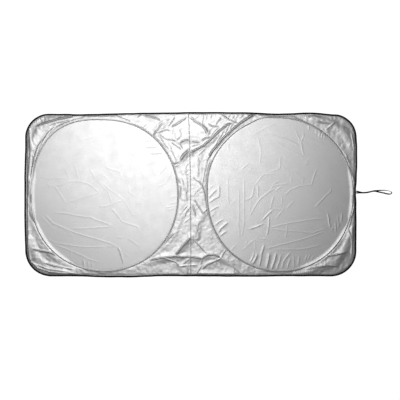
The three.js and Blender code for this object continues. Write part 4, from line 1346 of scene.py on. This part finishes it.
def binding_profile():
    """Section of the folded tape: inwards from the outer edge and up, round both legs."""
    high = BINDING_TOP
    reach = BINDING_REACH + BINDING_MORE
    wall = TAPE_THICKNESS
    outer = [(reach, 0.05 * MM), (0.75 * reach, 0), (0.4 * reach, 0), (0.8 * MM, 0.05 * MM),
             (0.25 * MM, 0.35 * MM), (0, high / 2), (0.25 * MM, high - 0.3 * MM),
             (0.8 * MM, high), (0.4 * reach, high + 0.15 * MM), (0.62 * reach, high + 0.05 * MM),
             (0.75 * reach, high), (0.88 * reach, high + 0.08 * MM), (reach, high - 0.05 * MM)]
    inner = [(reach, high - wall), (0.4 * reach, high - wall), (1.0 * MM, high - wall - 0.05 * MM),
             (0.5 * MM, high / 2), (1.0 * MM, wall + 0.05 * MM), (0.4 * reach, wall), (reach, wall)]
    return np.array(outer + inner)


def add_binding():
    """The folded tape round the outline, which puckers a little between its stitches."""
    profile = binding_profile()
    pull = 0.5 + 0.5 * np.clip(OUTLINE.ripple(7, 380, 560), -1, 1)
    sections = []
    high = profile[:, 1].max()
    for inwards, up in profile:
        plan = OUTLINE.inset(inwards + OUTLINE.waver)
        z = up + EDGE_RISE + 0.28 * MM * pull * (up / high) * (inwards / BINDING_REACH)
        sections.append(np.column_stack([plan, z]))
    add_tape("binding", np.stack(sections, axis=1), True, BLACK_TAPE, "edge_binding")


def flat_section(width):
    """Section of a tape that lies flat, across it and up, with softened edges."""
    half = width / 2
    soft = half - 0.3 * MM
    low, high = 0.3 * TAPE_THICKNESS, 0.7 * TAPE_THICKNESS
    return ((-half, low), (-soft, 0), (soft, 0), (half, low),
            (half, high), (soft, TAPE_THICKNESS), (-soft, TAPE_THICKNESS), (-half, high))


def add_casing(name, hoop):
    """The casing's tape on the back of the cloth."""
    sections = [np.column_stack([hoop.line(out, CASING_STATIONS), np.full(CASING_STATIONS, up)])
                for out, up in flat_section(CASING_WIDTH)]
    sections = np.stack(sections, axis=1)
    add_tape(f"casing_{name}", sections, True, GREY_TAPE, f"hoop_casing_{name}")


def add_seam_tape():
    """The tape behind the seam, between the upper and the lower binding."""
    line = evenly(SEAM, SEAM_TAPE_STATIONS)
    x, y = line[np.abs(line[:, 1]) < HEIGHT / 2 - BINDING_REACH - FIT].T
    rise = seam_rise(y)
    sections = [np.column_stack([x + out, y, rise + up]) for out, up in flat_section(SEAM_TAPE_WIDTH)]
    add_tape("seam_backing", np.stack(sections, axis=1), False, GREY_TAPE, "seam_tape")


add_binding()
for end, hoop in hoops.items():
    add_casing(end, hoop)
add_seam_tape()

for node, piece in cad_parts.items():
    if node.startswith(("hoop_left", "hoop_right", "hoop_ferrule")):
        piece.data.materials.clear()
        piece.data.materials.append(STEEL)


# Stitches


STITCH_SIZES = {"Pitch": 3.4 * MM, "Stitch length": 2.5 * MM, "Thread radius": 0.28 * MM}
THREAD_LIFT = 0.12 * MM  # of the thread's middle above the cloth
BINDING_THREAD_LIFT = 0.15 * MM  # and above the binding
CASING_ROW = 5.4 * MM  # from the hoop's line, on both sides
SEAM_ROW = 2.4 * MM  # from the seam, on both sides
SEAM_ROW_END = 2 * MM  # between the seam's rows and the binding
BINDING_ROW = 5.0 * MM  # from the binding's outer edge


def stitch_nodes():
    """Lays small stitches at equal steps along lines."""
    tree = bpy.data.node_groups.new("stitch_row", "GeometryNodeTree")

    def socket(name, kind, way="INPUT"):
        return tree.interface.new_socket(name, in_out=way, socket_type="NodeSocket" + kind)

    socket("Lines", "Geometry")
    for name, size in STITCH_SIZES.items():
        socket(name, "Float").default_value = size
    thread = socket("Thread", "Material")
    socket("Stitches", "Geometry", "OUTPUT")

    nodes = Nodes(tree)
    given = {name: nodes.node("NodeGroupInput", output=name) for name in ("Lines", *STITCH_SIZES, "Thread")}
    curve = nodes.node("GeometryNodeMeshToCurve", inputs={"Mesh": given["Lines"]})
    spacing = {"Curve": curve, "Length": given["Pitch"]}
    steps = nodes.node("GeometryNodeResampleCurve", {"mode": "LENGTH"}, spacing)
    bead = nodes.node("GeometryNodeMeshUVSphere", inputs={"Segments": 6, "Rings": 4, "Radius": 1})
    radius = given["Thread radius"]
    half = 0.5 * given["Stitch length"]
    size = nodes.node("ShaderNodeCombineXYZ", inputs={"X": radius, "Y": radius, "Z": half})
    run = nodes.node("GeometryNodeInputTangent")
    aim = nodes.node("FunctionNodeAlignRotationToVector", {"axis": "Z"}, {"Vector": run})
    placed = nodes.node("GeometryNodeInstanceOnPoints", inputs={
        "Points": steps,
        "Instance": bead,
        "Rotation": aim,
        "Scale": size,
    })
    real = nodes.node("GeometryNodeRealizeInstances", inputs={"Geometry": placed})
    coloured = nodes.node("GeometryNodeSetMaterial", inputs={"Geometry": real, "Material": given["Thread"]})
    nodes.end("NodeGroupOutput", "Stitches", coloured)
    return tree, thread.identifier


STITCH_TREE, THREAD_INPUT = stitch_nodes()


def add_stitches(name, rows, thread):
    """Rows of stitches along lines of points, each closed if its last point is its first."""
    points, edges = [], []
    for row in rows:
        start = len(points)
        points += [tuple(point) for point in row]
        edges += [(start + i, start + i + 1) for i in range(len(row) - 1)]
    mesh = bpy.data.meshes.new(name + "_rows")
    mesh.from_pydata(points, edges, [])
    guide = bpy.data.objects.new(name + "_rows", mesh)
    bpy.context.scene.collection.objects.link(guide)
    rule = guide.modifiers.new("stitch_row", "NODES")
    rule.node_group = STITCH_TREE
    rule[THREAD_INPUT] = thread
    bpy.context.view_layer.update()
    evaluated = guide.evaluated_get(bpy.context.evaluated_depsgraph_get())
    made = bpy.data.meshes.new_from_object(evaluated)
    made.name = name
    made.shade_smooth()
    bpy.data.objects.remove(guide)
    finished(name, made, thread)


def on_cloth(plan, lift):
    """A line of points laid on the cloth's face."""
    plan = np.asarray(plan, float)
    return np.column_stack([plan, cloth_top(plan[:, 0], plan[:, 1]) + lift])


def add_casing_stitches(name, hoop):
    rows = []
    for distance in (-CASING_ROW, CASING_ROW):
        ring = hoop.line(distance, HOOP_STATIONS)
        rows.append(on_cloth(np.concatenate([ring, ring[:1]]), THREAD_LIFT))
    add_stitches(f"casing_stitches_{name}", rows, GREY_THREAD)


def add_seam_stitches():
    line = evenly(SEAM, SEAM_ROW_STATIONS)
    line = line[np.abs(line[:, 1]) < HEIGHT / 2 - BINDING_REACH - SEAM_ROW_END]
    rows = [on_cloth(line + [aside, 0], THREAD_LIFT) for aside in (-SEAM_ROW, SEAM_ROW)]
    add_stitches("seam_stitches", rows, GREY_THREAD)


def add_binding_stitches():
    plan = OUTLINE.inset(BINDING_ROW + OUTLINE.waver)
    row = np.column_stack([plan, EDGE_RISE + BINDING_TOP + BINDING_THREAD_LIFT])
    add_stitches("binding_stitches", [np.concatenate([row, row[:1]])], BLACK_THREAD)


for end, hoop in hoops.items():
    add_casing_stitches(end, hoop)
add_seam_stitches()
add_binding_stitches()


# Floor and lights


FLOOR_HALF = 6.0
FLOOR_LEVEL = -0.25 * MM
FLOOR_GLOW = 0.96  # of white, where the floor is seen itself
FLOOR_TONES = (0.34, 0.36)  # where it lights the shade

# Soft square lamps that look straight down: place, and power in watts
LAMPS = {"middle": (-0.05, -0.1, 3.4), "top": (-0.05, 0.6, 8.0), "left": (-0.45, 0.4, 5.3)}
LAMP_HEIGHT = 1.8
LAMP_SIZE = 0.6
SKY_STRENGTH = 0.01


def floor_finish():
    """Matt and grey where it lights the shade, nearly white where it is seen."""
    finish = Finish("floor")
    dark, light = FLOOR_TONES
    tone = finish.blend(finish.noise(finish.coordinates(), 0.4), grey(dark), grey(light))
    matt = finish.node("ShaderNodeBsdfDiffuse", inputs={"Color": tone})
    seen = sum(finish.node("ShaderNodeLightPath", output=ray)
               for ray in ("Is Camera Ray", "Is Glossy Ray", "Is Transmission Ray"))
    glow = finish.node("ShaderNodeEmission", inputs={"Color": grey(1.0), "Strength": FLOOR_GLOW * seen})
    both = finish.node("ShaderNodeAddShader", inputs={0: matt, 1: glow})
    finish.end("ShaderNodeOutputMaterial", "Surface", both)
    return finish.material


def add_floor():
    ends = (-FLOOR_HALF, FLOOR_HALF)
    corners = [(x, y, FLOOR_LEVEL) for y in ends for x in ends]
    mesh = bpy.data.meshes.new("floor")
    mesh.from_pydata(corners, [], [(0, 1, 3, 2)])
    mesh.materials.append(floor_finish())
    floor = bpy.data.objects.new("floor", mesh)
    bpy.context.scene.collection.objects.link(floor)


def add_lamp(name, x, y, power):
    lamp = bpy.data.lights.new(name, "AREA")
    lamp.shape = "SQUARE"
    lamp.size = LAMP_SIZE
    lamp.energy = power
    holder = bpy.data.objects.new(name, lamp)
    holder.location = (x, y, LAMP_HEIGHT)
    holder.visible_camera = False
    bpy.context.scene.collection.objects.link(holder)


def light_studio():
    world = bpy.data.worlds.new("studio")
    world.use_nodes = True
    sky = world.node_tree.nodes["Background"]
    sky.inputs["Color"].default_value = grey(1.0)
    sky.inputs["Strength"].default_value = SKY_STRENGTH
    bpy.context.scene.world = world
    bpy.context.scene.view_settings.view_transform = "Standard"
    for name, (x, y, power) in LAMPS.items():
        add_lamp("softbox_" + name, x, y, power)


add_floor()
light_studio()
